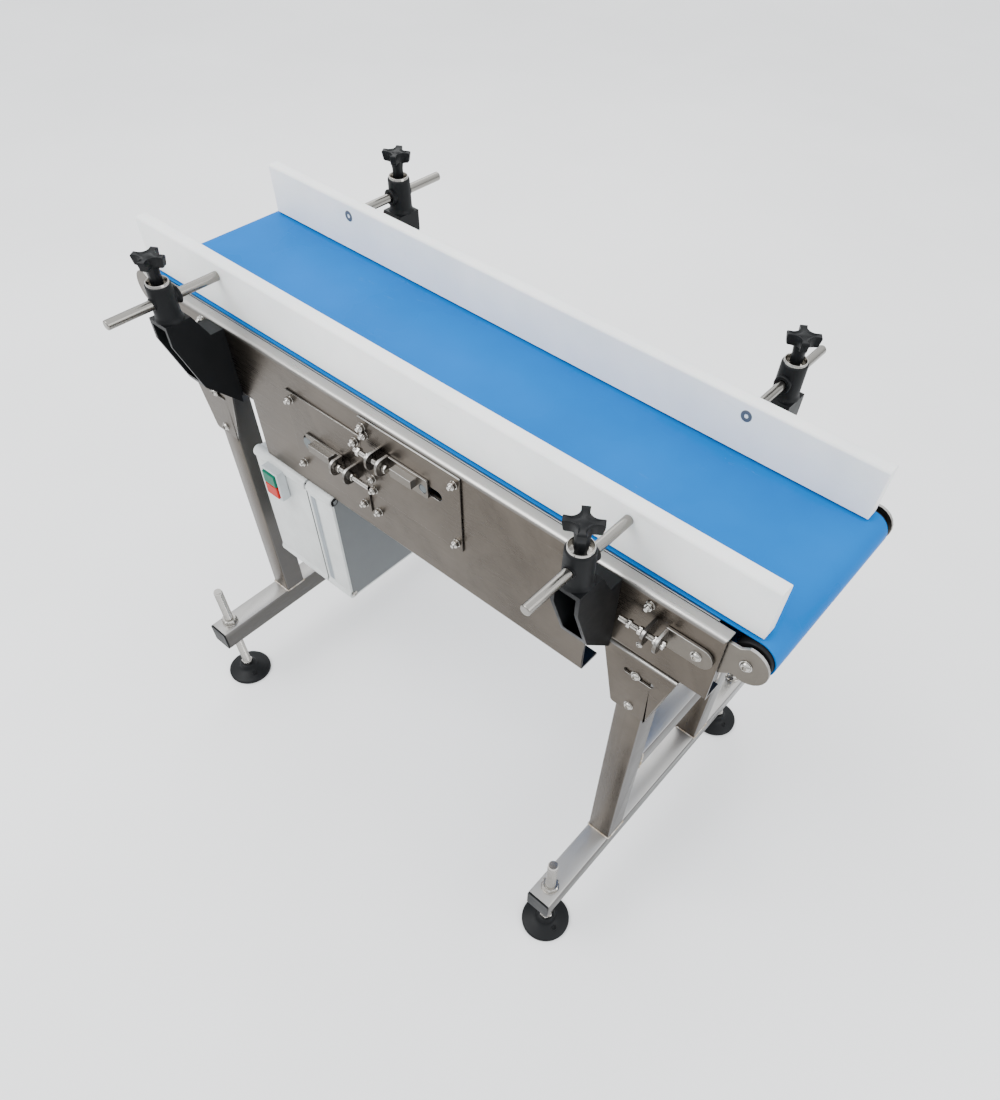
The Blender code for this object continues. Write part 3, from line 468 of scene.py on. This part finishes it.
def seam(bm, points, radius=1.3 * MM, ripple=1.3 * MM, look=0):
    """A weld bead along a closed path, its ripples laid one over the next."""
    path = []
    count = len(points)
    for i in range(count):
        a, b = Vector(points[i]), Vector(points[(i + 1) % count])
        steps = max(2, int((b - a).length / (ripple / 3)))
        path += [(a.lerp(b, k / steps), (b - a).normalized()) for k in range(steps)]
    centre = sum((p for p, _ in path), Vector()) / len(path)
    rings = []
    travelled = 0.0
    for i, (point, heading) in enumerate(path):
        travelled += (point - path[i - 1][0]).length if i else 0.0
        swell = (1.0 + 0.22 * abs(math.sin(math.pi * travelled / ripple))
                 + 0.10 * math.sin(travelled * 410))
        out = (point - centre)
        out = (out - heading * out.dot(heading)).normalized()
        side = heading.cross(out)
        ring = []
        for k in range(8):
            angle = 2 * math.pi * k / 8
            spoke = (out * math.cos(angle) + side * math.sin(angle)) * radius * swell
            ring.append(bm.verts.new(point + spoke))
        rings.append(ring)
    for one, two in zip(rings, rings[1:] + rings[:1]):
        for k in range(8):
            m = (k + 1) % 8
            face = bm.faces.new((one[k], one[m], two[m], two[k]))
            face.material_index = look


def block(bm, low, high, look=0):
    """Upright block between two corners."""
    corners = [bm.verts.new((x, y, z)) for x in (low[0], high[0]) for y in (low[1], high[1])
               for z in (low[2], high[2])]
    for face in ((0, 1, 3, 2), (4, 6, 7, 5), (0, 4, 5, 1), (2, 3, 7, 6), (0, 2, 6, 4), (1, 5, 7, 3)):
        bm.faces.new([corners[i] for i in face]).material_index = look


def nearly(a, b, tolerance=0.2 * MM):
    return abs(a - b) < tolerance


# ------------------------------------------------------------ sheet metal
PLATE_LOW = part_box("side_plate_near")[0]
PLATE_FACE = 145 * MM
FOLD = 6.5 * MM
DROP_END = TOP - 107 * MM
UPRIGHT_OUT = 144.2 * MM
CROSS_TOP = 370 * MM


def fold_edges(face_y, heights, radius):
    """Chooses the long outside corners where a sheet is folded."""
    def special(edge):
        a, b = (v.co for v in edge.verts)
        along = abs(a.x - b.x) > 5 * MM
        if along and nearly(abs(a.y), face_y) and nearly(a.z, b.z):
            if any(nearly(a.z, z) for z in heights):
                return radius
        return None
    return special


def side_plates():
    def pick(face):
        # Upward faces below the top take the painted shade steel.
        return 1 if face.normal.z > 0.9 and face.calc_center_median().z < TOP - 20 * MM else 0

    for word, _ in SIDES:
        refine(f"side_plate_{word}", (STEEL_X, PAINTED_SHADE_STEEL), 0.5 * MM,
               widest=FOLD, segments=5, pick=pick, clamped=False,
               special=fold_edges(PLATE_FACE, (TOP - 3 * MM, DROP_END, PLATE_LOW.z), FOLD))
    refine("slider_bed", STEEL_X, 0.4 * MM)
    for place in ENDS:
        for word, _ in SIDES:
            node = f"leg_bracket_{place}_{word}"
            low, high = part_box(node)
            face_y = max(abs(low.y), abs(high.y))
            refine(node, STEEL_X, 0.5 * MM, widest=4 * MM, segments=4, clamped=False,
                   special=fold_edges(face_y, (high.z,), 4 * MM))


def slide_plates():
    for word, _ in SIDES:
        for kind in ("drum", "snub"):
            refine(f"{kind}_slide_plate_{word}", STEEL_X, 0.6 * MM)
            refine(f"{kind}_slider_{word}", CHEEK_STEEL, 0.7 * MM)
        refine(f"take_up_arm_{word}", CHEEK_STEEL, 0.8 * MM)
        for kind in ("take_up_cheek", "fixed_cheek"):
            refine(f"{kind}_{word}", CHEEK_STEEL, 0.6 * MM)
    for node in ("drum_motor", "fixed_end_shaft", "take_up_shaft", "snub_shaft"):
        refine(node, SHAFT_STEEL, 0.8 * MM)
    for node in ("fixed_end_roller", "take_up_roller"):
        refine(node, RUBBER, 0.5 * MM)
    for node in ("drive_drum", "snub_roller"):
        refine(node, STEEL_Y, 0.5 * MM)


def legs():
    """Leg frames with grain along each tube, weld beads at every joint and end plugs."""
    for place in ENDS:
        node = f"leg_frame_{place}"
        low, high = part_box(node)
        x = (low.x + high.x) / 2
        half = (high.x - low.x) / 2
        bar_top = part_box(f"foot_bar_cap_{place}_near")[1].z
        upright_in = UPRIGHT_OUT - 2 * half

        def pick(face, bar_top=bar_top, inner=upright_in):
            centre = face.calc_center_median()
            on_upright = abs(centre.y) > inner - 0.5 * MM and centre.z > bar_top
            return 1 if on_upright else 0
        refine(node, (STEEL_Y, STEEL_Z), 0.5 * MM, pick=pick, smooth=50.0,
               special=lambda edge: None)
        bm = bmesh.new()
        r = half - 2 * MM
        for side in (-1, 1):
            y0, y1 = sorted((side * upright_in, side * UPRIGHT_OUT))
            seam(bm, [(x - half, y0, bar_top), (x + half, y0, bar_top), (x + half, y1, bar_top),
                      (x - half, y1, bar_top)])
            face_y = side * upright_in
            high_z, low_z = CROSS_TOP, CROSS_TOP - 2 * half
            seam(bm, [(x - r, face_y, low_z), (x + r, face_y, low_z),
                      (x + half, face_y, low_z + 2 * MM), (x + half, face_y, high_z - 2 * MM),
                      (x + r, face_y, high_z), (x - r, face_y, high_z),
                      (x - half, face_y, high_z - 2 * MM), (x - half, face_y, low_z + 2 * MM)])
        publish(f"leg_welds_{place}", bm, WELD, "frame", smooth=60.0)
        for word, side in SIDES:
            refine(f"foot_bar_cap_{place}_{word}", BLACK, 0.8 * MM, smooth=50.0)


# ------------------------------------------------------------ belt
def belt_loops(circles, fine=math.radians(4)):
    """Outer and inner line of a belt round circles (x, z, middle radius, turn)."""
    count = len(circles)
    headings = []
    for i in range(count):
        x1, z1, r1, s1 = circles[i]
        x2, z2, r2, s2 = circles[(i + 1) % count]
        reach = math.hypot(x2 - x1, z2 - z1)
        headings.append(math.atan2(z2 - z1, x2 - x1) - math.asin((s1 * r1 - s2 * r2) / reach))
    points = []
    for i in range(count):
        x, z, radius, turn = circles[i]
        sweep = (turn * (headings[i - 1] - headings[i])) % (2 * math.pi)
        steps = max(6, round(sweep / fine))
        for k in range(steps + 1):
            heading = headings[i - 1] - turn * sweep * k / steps
            normal = Vector((-math.sin(heading), 0, math.cos(heading)))
            points.append((Vector((x, 0, z)) + normal * turn * radius, normal))
    return points


def belt():
    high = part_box("belt")[1]
    drum, snub = middle("drive_drum"), middle("snub_roller")
    drum_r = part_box("drive_drum")[1].z - drum.z
    snub_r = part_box("snub_roller")[1].z - snub.z
    half_t = BELT_T / 2
    gap = 0.3 * MM
    end = high.x - END_R
    circles = [(-end, TOP - END_R, END_R - half_t, 1), (end, TOP - END_R, END_R - half_t, 1),
               (drum.x, drum.z, drum_r + gap + half_t, 1), (snub.x, snub.z, snub_r + gap + half_t, -1)]
    points = belt_loops(circles)
    edge = 0.5 * MM
    half = high.y
    section = [(-half + edge, half_t), (half - edge, half_t),
               (half, half_t - edge), (half, edge - half_t),
               (half - edge, -half_t), (-half + edge, -half_t),
               (-half, edge - half_t), (-half, half_t - edge)]
    bm = bmesh.new()
    rings = [[bm.verts.new(p + n * t + Y * y) for y, t in section] for p, n in points]
    for one, two in zip(rings, rings[1:] + rings[:1]):
        for k in range(len(section)):
            m = (k + 1) % len(section)
            bm.faces.new((one[k], one[m], two[m], two[k]))
    publish("belt_loop", bm, BELT, "frame", ("belt",), smooth=30.0)


# ------------------------------------------------------------ guides and clamps
def guides():
    for word, side in SIDES:
        refine(f"guide_{word}", BOARD, 0.8 * MM)
        bm = bmesh.new()
        for place in ENDS:
            node = f"guide_rod_{place}_{word}"
            refine(node, ROD_STEEL, 0.6 * MM)
            rod = middle(node)
            face_y = min(abs(corner.y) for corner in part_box(f"guide_{word}"))
            place_at = towards((0, -side, 0), (rod.x, side * face_y, rod.z))
            key = 2.6 * MM
            turned(bm, [(7.0 * MM, -2.0 * MM), (7.2 * MM, 0.0), (7.0 * MM, 0.35 * MM),
                        (5.2 * MM, 0.5 * MM), (key * 1.22, 0.5 * MM), (key * 1.15, 0.45 * MM),
                        (key * 1.15, -1.8 * MM)], place_at, 36,
                   lambda angle, limit: limit if limit > key * 1.2 else min(
                       limit, key / math.cos((angle % math.radians(60)) - math.radians(30))))
        publish(f"guide_screws_{word}", bm, SCREW_STEEL, f"guide_{word}", smooth=35.0)


PLATFORM = TOP + 28 * MM
HEAD_R = 16.5 * MM


def clamp(place, word, side):
    """Bracket with its round head, steel cup and rod bosses, and the four-lobed knob."""
    node = f"clamp_bracket_{place}_{word}"
    rod = middle(f"guide_rod_{place}_{word}")
    knob_low, knob_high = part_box(f"knob_{place}_{word}")
    x, y = rod.x, (knob_low.y + knob_high.y) / 2
    head_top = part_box(node)[1].z
    bm = cad_mesh(node)
    cut = bmesh.ops.bisect_plane(bm, geom=bm.verts[:] + bm.edges[:] + bm.faces[:], dist=0.001 * MM,
                                 plane_co=(0, 0, PLATFORM + 0.2 * MM), plane_no=Z, clear_outer=True)
    loose = [g for g in cut["geom_cut"] if isinstance(g, bmesh.types.BMEdge)]
    bmesh.ops.holes_fill(bm, edges=loose, sides=0)
    bmesh.ops.recalc_face_normals(bm, faces=bm.faces)
    weigh_edges(bm, 1.2 * MM, 1.2 * MM)
    publish(f"{node}_shape", bm, BLACK, "frame", (node,), 1.2 * MM, 3)

    bm = bmesh.new()
    stand = Matrix.Translation((x, y, 0))
    r = HEAD_R
    turned(bm, [(r + 2.2 * MM, PLATFORM - 1 * MM), (r + 2.0 * MM, PLATFORM + 0.8 * MM),
                (r + 0.8 * MM, PLATFORM + 2.6 * MM), (r, PLATFORM + 6 * MM),
                (r - 0.4 * MM, head_top - 2.2 * MM), (r - 0.9 * MM, head_top - 0.7 * MM),
                (r - 1.8 * MM, head_top), (14.3 * MM, head_top), (14.2 * MM, head_top - 10 * MM)],
           stand, 56)
    turned(bm, [(9.4 * MM, 8 * MM), (9.4 * MM, 17 * MM), (10.4 * MM, 18.4 * MM), (10.8 * MM, 20.4 * MM),
                (10.0 * MM, 21.4 * MM), (6.8 * MM, 21.4 * MM), (6.5 * MM, 12 * MM)],
           towards((0, -side, 0), (x, y, rod.z)), 40)
    turned(bm, [(7.6 * MM, 12 * MM), (7.4 * MM, 16.7 * MM), (6.9 * MM, 17.0 * MM), (6.5 * MM, 17.0 * MM),
                (6.4 * MM, 12 * MM)], towards((0, side, 0), (x, y, rod.z)), 36)
    publish(f"clamp_head_{place}_{word}", bm, BLACK, "frame", smooth=35.0)

    bm = bmesh.new()
    rim = head_top + 3.2 * MM
    turned(bm, [(14.1 * MM, head_top - 9.5 * MM), (14.1 * MM, rim - 0.6 * MM), (13.7 * MM, rim),
                (13.1 * MM, rim), (12.7 * MM, rim - 0.6 * MM), (12.7 * MM, head_top - 8 * MM),
                (6.9 * MM, head_top - 9 * MM), (6.9 * MM, head_top - 9.5 * MM)], stand, 48, closed=True)
    publish(f"clamp_cup_{place}_{word}", bm, BRIGHT, "frame", smooth=35.0)

    bm = bmesh.new()
    top = knob_high.z
    tip = (knob_high.x - knob_low.x) / 2
    scoop_at, scoop_r = tip * 1.06, tip * 0.55

    def lobes(angle, scale):
        """Four flat-tipped arms with round scoops between them, rounder near the middle."""
        off = (angle + math.radians(57)) % math.radians(90) - math.radians(45)
        reach = tip / math.cos(math.radians(45) - abs(off)) * 0.99
        inside = scoop_r ** 2 - (scoop_at * math.sin(off)) ** 2
        if inside > 0:
            reach = min(reach, scoop_at * math.cos(off) - math.sqrt(inside))
        share = min(1.0, max(0.0, (scale - 0.30) / 0.35))
        return scale * (reach * share + tip * 0.72 * (1 - share))
    arms = [(0.46, top - 15.0 * MM), (0.62, top - 13.6 * MM), (0.82, top - 12.6 * MM),
            (0.90, top - 11.6 * MM), (0.99, top - 2.4 * MM), (0.985, top - 1.2 * MM),
            (0.95, top - 0.4 * MM), (0.90, top - 0.2 * MM), (0.76, top - 1.0 * MM),
            (0.62, top - 1.7 * MM), (0.50, top - 1.8 * MM), (0.40, top - 1.3 * MM),
            (0.28, top - 0.7 * MM), (0.14, top - 0.3 * MM)]
    turned(bm, arms, stand, 128, lobes)
    turned(bm, [(6.4 * MM, knob_low.z), (6.4 * MM, head_top - 1 * MM), (7.4 * MM, head_top + 0.5 * MM),
                (7.8 * MM, top - 22 * MM), (8.8 * MM, top - 15 * MM), (9.2 * MM, top - 9 * MM)],
           stand, 40, lambda angle, radius: radius * (1 - 0.05 * (math.cos(4 * angle) > 0.55)))
    publish(f"knob_{place}_{word}_shape", bm, BLACK, f"knob_{place}_{word}",
            (f"knob_{place}_{word}",), smooth=42.0)


# ------------------------------------------------------------ feet
def foot(place, word):
    node = f"levelling_foot_{place}_{word}"
    low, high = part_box(node)
    centre = (low + high) / 2
    stand = Matrix.Translation((centre.x, centre.y, 0))
    bm = bmesh.new()
    turned(bm, [(38.6 * MM, 0.0), (40.0 * MM, 0.8 * MM), (40.0 * MM, 4.6 * MM),
                (39.2 * MM, 5.8 * MM), (37.6 * MM, 6.6 * MM), (31 * MM, 8.6 * MM),
                (22 * MM, 11.2 * MM), (17.4 * MM, 13.4 * MM), (15.6 * MM, 15.6 * MM),
                (14.8 * MM, 20.5 * MM), (13.6 * MM, 22.6 * MM), (11.5 * MM, 23.6 * MM),
                (8.4 * MM, 23.8 * MM)], stand, 64)
    drain = Matrix.Translation((centre.x + 23 * MM, centre.y - 6 * MM, 0))
    turned(bm, [(4.6 * MM, 8 * MM), (4.4 * MM, 11.4 * MM), (3.8 * MM, 12 * MM),
                (2.2 * MM, 12 * MM), (2.0 * MM, 10 * MM)], drain, 24)
    body = frame["nodes"][node]["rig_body"]
    publish(f"{node}_pad", bm, BLACK, body, (node,), smooth=35.0)
    bm = bmesh.new()
    thread(bm, (centre.x, centre.y, 22 * MM), Z, 7.3 * MM, 8.0 * MM, high.z - 22 * MM, 2 * MM)
    nut(bm, stand, 19 * MM, 6 * MM, 26 * MM)
    publish(f"{node}_stud", bm, BRIGHT, body, smooth=25.0)
    bar_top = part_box(f"foot_bar_cap_{place}_{word}")[1].z
    bm = bmesh.new()
    washer(bm, stand, 14.5 * MM, 2.2 * MM, bar_top + 0.3 * MM)
    nut(bm, stand, 24 * MM, 10 * MM, bar_top + 2.5 * MM)
    publish(f"lock_nut_{place}_{word}", bm, BRIGHT, "frame", smooth=25.0)


# ------------------------------------------------------------ control box
def rolled_edge(bm, y, z, radius, left, right, look=0):
    """A round corner roll of the box that runs along X with softened ends."""
    turned(bm, [(radius - 1.6 * MM, left), (radius - 0.4 * MM, left + 0.5 * MM),
                (radius, left + 1.6 * MM), (radius, right - 1.6 * MM),
                (radius - 0.4 * MM, right - 0.5 * MM), (radius - 1.6 * MM, right)],
           Matrix(((0, 0, 1, 0), (1, 0, 0, y), (0, 1, 0, z), (0, 0, 0, 1))), 32, look=look)


def control_box():
    roll, inset = 9.4 * MM, 6.4 * MM
    for node, wide in (("box_lid", 3 * MM), ("box_base", 2.4 * MM)):
        low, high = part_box(node)
        bm = cad_mesh(node)
        bmesh.ops.recalc_face_normals(bm, faces=bm.faces)
        weigh_edges(bm, wide, wide)
        left = low.x + (1.4 * MM if node == "box_base" else 0.0)
        right = high.x - (1.4 * MM if node == "box_lid" else 0.0)
        for y in (low.y + inset, high.y - inset):
            for z in (low.z + inset, high.z - inset):
                rolled_edge(bm, y, z, roll, left, right)
        publish(f"{node}_shape", bm, PALE_PLASTIC, "frame", (node,), wide, 3, smooth=40.0)
    low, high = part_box("box_base")
    thin = 0.35 * MM
    bm = bmesh.new()
    for left, right, look in ((5.5, 6.7, 1), (8.2, 16.5, 0), (17.6, 18.8, 1)):
        block(bm, (low.x + left * MM, low.y - 0.7 * MM, low.z + 19 * MM),
              (low.x + right * MM, low.y + 1 * MM, high.z - 19 * MM), look)
    # Painted shade: a dark grey sheet over most of the +X face of the box base.
    block(bm, (high.x - 1 * MM, low.y + 4 * MM, low.z + 4 * MM),
          (high.x + 0.6 * MM, high.y - 4 * MM, high.z - 4 * MM), 2)
    bmesh.ops.recalc_face_normals(bm, faces=bm.faces)
    weigh_edges(bm, thin, thin)
    publish("box_stripes_and_shade_sheet", bm, (STRIPE, GREY_PLASTIC, PAINTED_SHADE_SHEET), "frame", (), thin)
    # A dark strip along the seam between lid and base.
    bm = bmesh.new()
    block(bm, (low.x - 1.5 * MM, low.y - 0.2 * MM, low.z + 1 * MM),
          (low.x + 1.2 * MM, low.y + 5 * MM, high.z - 1 * MM))
    bmesh.ops.recalc_face_normals(bm, faces=bm.faces)
    weigh_edges(bm, thin, thin)
    publish("box_seam_strip", bm, RUBBER, "frame", (), thin)
    bm = bmesh.new()
    for y in (low.y + inset, high.y - inset):
        socket_screw(bm, (high.x, y, low.z + inset), X, 4.6 * MM, 1.6 * MM)
    publish("box_screws", bm, BRIGHT, "frame", smooth=35.0)
    # Painted shade: dark cups at the top screw holes stand for the shade inside the recesses.
    bm = bmesh.new()
    for y in (low.y + inset, high.y - inset):
        hole = towards(X, (high.x - 1 * MM, y, high.z - inset))
        turned(bm, [(6.6 * MM, 0), (6.6 * MM, 1.6 * MM), (6.1 * MM, 1.9 * MM),
                    (5.0 * MM, 1.9 * MM), (4.7 * MM, 0.4 * MM)], hole, 36)
    publish("box_screw_recess_shade", bm, RUBBER, "frame", smooth=35.0)
    refine("push_button_frame", GREY_PLASTIC, 1.6 * MM, segments=3)
    refine("start_button", GREEN, 1.2 * MM, segments=3)
    refine("stop_button", RED, 1.2 * MM, segments=3)


# ------------------------------------------------------------ screws, nuts and threads
def inset_corners(node, dx, dz, skip=()):
    low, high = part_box(node)
    corners = {"low_left": (low.x + dx, low.z + dz), "low_right": (high.x - dx, low.z + dz),
               "high_left": (low.x + dx, high.z - dz), "high_right": (high.x - dx, high.z - dz)}
    return [place for name, place in corners.items() if name not in skip]


ROOT, CREST, PITCH = 3.04 * MM, 3.4 * MM, 1.0 * MM
PLATE_NUTS = ((-42 * MM, TOP - 30 * MM), (-40 * MM, TOP - 98 * MM), (-40 * MM, TOP - 117 * MM))
FACE_NUTS = ((-40 * MM, TOP - 158 * MM), (386 * MM, TOP - 17 * MM), (-361 * MM, TOP - 12 * MM))
MIDDLE_SCREW = (240 * MM, TOP - 120 * MM)
END_SCREWS = ((384 * MM, TOP - 86 * MM), (-384 * MM, TOP - 86 * MM))
BRACKET_SCREW_HEIGHTS = (TOP - 138 * MM, TOP - 200 * MM)
ROD_Y = 160 * MM
DRUM_ROD_Z, SNUB_ROD_Z, TAKE_UP_ROD_Z = TOP - 104 * MM, TOP - 50 * MM, TOP - 43 * MM
DRUM_NUTS = (-95 * MM, -70 * MM, -106.5 * MM)
SNUB_NUTS = (-10 * MM, -29.5 * MM, -46 * MM, 1 * MM)
SMALL_NUT = 4.6 * MM
TAKE_UP_NUTS = (415.4 * MM, 406.3 * MM)
FIXED_TAB_NUTS = (372 * MM, 391 * MM - SMALL_NUT)
ARM_SCREW_X = 451 * MM


def fasteners():
    for word, side in SIDES:
        out = (0, side, 0)
        face = side * PLATE_FACE
        plate = side * (PLATE_FACE + 2.8 * MM)
        bm = bmesh.new()
        spots = inset_corners(f"drum_slide_plate_{word}", 10 * MM, 12 * MM)
        spots += inset_corners(f"snub_slide_plate_{word}", 9 * MM, 12 * MM, skip=("low_left",))
        spots += PLATE_NUTS
        for x, z in spots:
            nut_set(bm, (x, plate, z), out)
        for x, z in FACE_NUTS:
            nut_set(bm, (x, face, z), out)
        socket_screw(bm, (MIDDLE_SCREW[0], face, MIDDLE_SCREW[1]), out, 4.2 * MM, 2.4 * MM)
        for x, z in END_SCREWS:
            socket_screw(bm, (x, face, z), out, 3.4 * MM, 1.8 * MM)
        for place in ENDS:
            low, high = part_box(f"leg_bracket_{place}_{word}")
            x = (low.x + high.x) / 2
            bracket = side * max(abs(low.y), abs(high.y))
            for z in BRACKET_SCREW_HEIGHTS:
                socket_screw(bm, (x, bracket, z), out, 5.4 * MM, 3.2 * MM)
        publish(f"plate_fasteners_{word}", bm, BRIGHT, "frame", smooth=30.0)

        bm = bmesh.new()
        rod_y = side * ROD_Y
        thread(bm, (-104 * MM, rod_y, DRUM_ROD_Z), X, ROOT, CREST, 68 * MM, PITCH)
        thread(bm, (-52 * MM, rod_y, SNUB_ROD_Z), X, ROOT, CREST, 56 * MM, PITCH)
        for x in DRUM_NUTS:
            nut(bm, towards(X, (x, rod_y, DRUM_ROD_Z)), 10 * MM, 5.2 * MM)
        for x in SNUB_NUTS:
            nut(bm, towards(X, (x, rod_y, SNUB_ROD_Z)), 10 * MM, 5.2 * MM)
        publish(f"adjuster_threads_{word}", bm, BRIGHT, "frame", smooth=28.0)

        bm = bmesh.new()
        thread(bm, (360.4 * MM, rod_y, TAKE_UP_ROD_Z), X, ROOT, CREST, 60 * MM, PITCH)
        for x in TAKE_UP_NUTS:
            nut(bm, towards(X, (x, rod_y, TAKE_UP_ROD_Z)), 9 * MM, SMALL_NUT)
        arm_face = side * (PLATE_FACE + 4.3 * MM)
        socket_screw(bm, (ARM_SCREW_X, arm_face, TAKE_UP_ROD_Z), out, 5.6 * MM, 3.2 * MM)
        cheek_face = side * max(abs(v.y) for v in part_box(f"take_up_cheek_{word}"))
        roller = middle("take_up_roller")
        socket_screw(bm, (roller.x, cheek_face, roller.z), out, 6.0 * MM, 3.4 * MM)
        publish(f"take_up_fasteners_{word}", bm, BRIGHT, "take_up", smooth=28.0)

        bm = bmesh.new()
        roller = middle("fixed_end_roller")
        socket_screw(bm, (roller.x, cheek_face, roller.z), out, 6.0 * MM, 3.4 * MM)
        for x in FIXED_TAB_NUTS:
            nut(bm, towards(X, (x, rod_y, TAKE_UP_ROD_Z)), 9 * MM, SMALL_NUT)
        publish(f"fixed_end_screws_{word}", bm, BRIGHT, "frame", smooth=30.0)


# ------------------------------------------------------------ stage, light and camera
def stage():
    bm = bmesh.new()
    bmesh.ops.create_grid(bm, x_segments=4, y_segments=4, size=6.0)
    mesh = bpy.data.meshes.new("floor")
    bm.to_mesh(mesh)
    bm.free()
    mesh.materials.append(floor_look())
    floor = bpy.data.objects.new("floor", mesh)
    bpy.context.collection.objects.link(floor)
    floor.location = (0, 0, -0.2 * MM)

    world = bpy.data.worlds.new("studio")
    world.use_nodes = True
    nodes, links = world.node_tree.nodes, world.node_tree.links
    direction = nodes.new("ShaderNodeSeparateXYZ")
    links.new(nodes.new("ShaderNodeTexCoord").outputs["Generated"], direction.inputs["Vector"])
    climb = nodes.new("ShaderNodeMapRange")
    for socket, value in (("From Min", 0.05), ("From Max", 0.75), ("To Min", 0.85), ("To Max", 2.25)):
        climb.inputs[socket].default_value = value
    links.new(direction.outputs["Z"], climb.inputs["Value"])
    sky = nodes["Background"]
    sky.inputs["Color"].default_value = (0.96, 0.98, 1.0, 1.0)
    links.new(climb.outputs["Result"], sky.inputs["Strength"])
    bpy.context.scene.world = world

    for name, place, size, power in (("key_light", (-1.0, -1.4, 2.6), 1.8, 56.0),
                                     ("back_light", (-1.6, 1.8, 2.2), 1.8, 20.0),
                                     ("end_light", (2.2, 0.3, 1.5), 1.4, 18.0)):
        data = bpy.data.lights.new(name, "AREA")
        data.shape = "SQUARE"
        data.size = size
        data.energy = power
        light = bpy.data.objects.new(name, data)
        bpy.context.collection.objects.link(light)
        light.location = place
        aim = Vector((0, 0, 0.55)) - light.location
        light.rotation_euler = aim.to_track_quat("-Z", "Y").to_euler()


def camera():
    data = bpy.data.cameras.new("camera")
    data.sensor_width = 36.0
    data.lens = 25.83
    data.shift_x = -0.033
    data.shift_y = 0.112
    data.clip_start = 0.05
    eye = bpy.data.objects.new("camera", data)
    bpy.context.collection.objects.link(eye)
    eye.location = (0.6165, -0.641, 1.3267)
    eye.rotation_euler = tuple(math.radians(angle) for angle in (35.29, -2.33, 40.13))
    bpy.context.scene.camera = eye


side_plates()
slide_plates()
legs()
belt()
guides()
for place_word in ENDS:
    for side_word, side_sign in SIDES:
        clamp(place_word, side_word, side_sign)
        foot(place_word, side_word)
control_box()
fasteners()
stage()
camera()
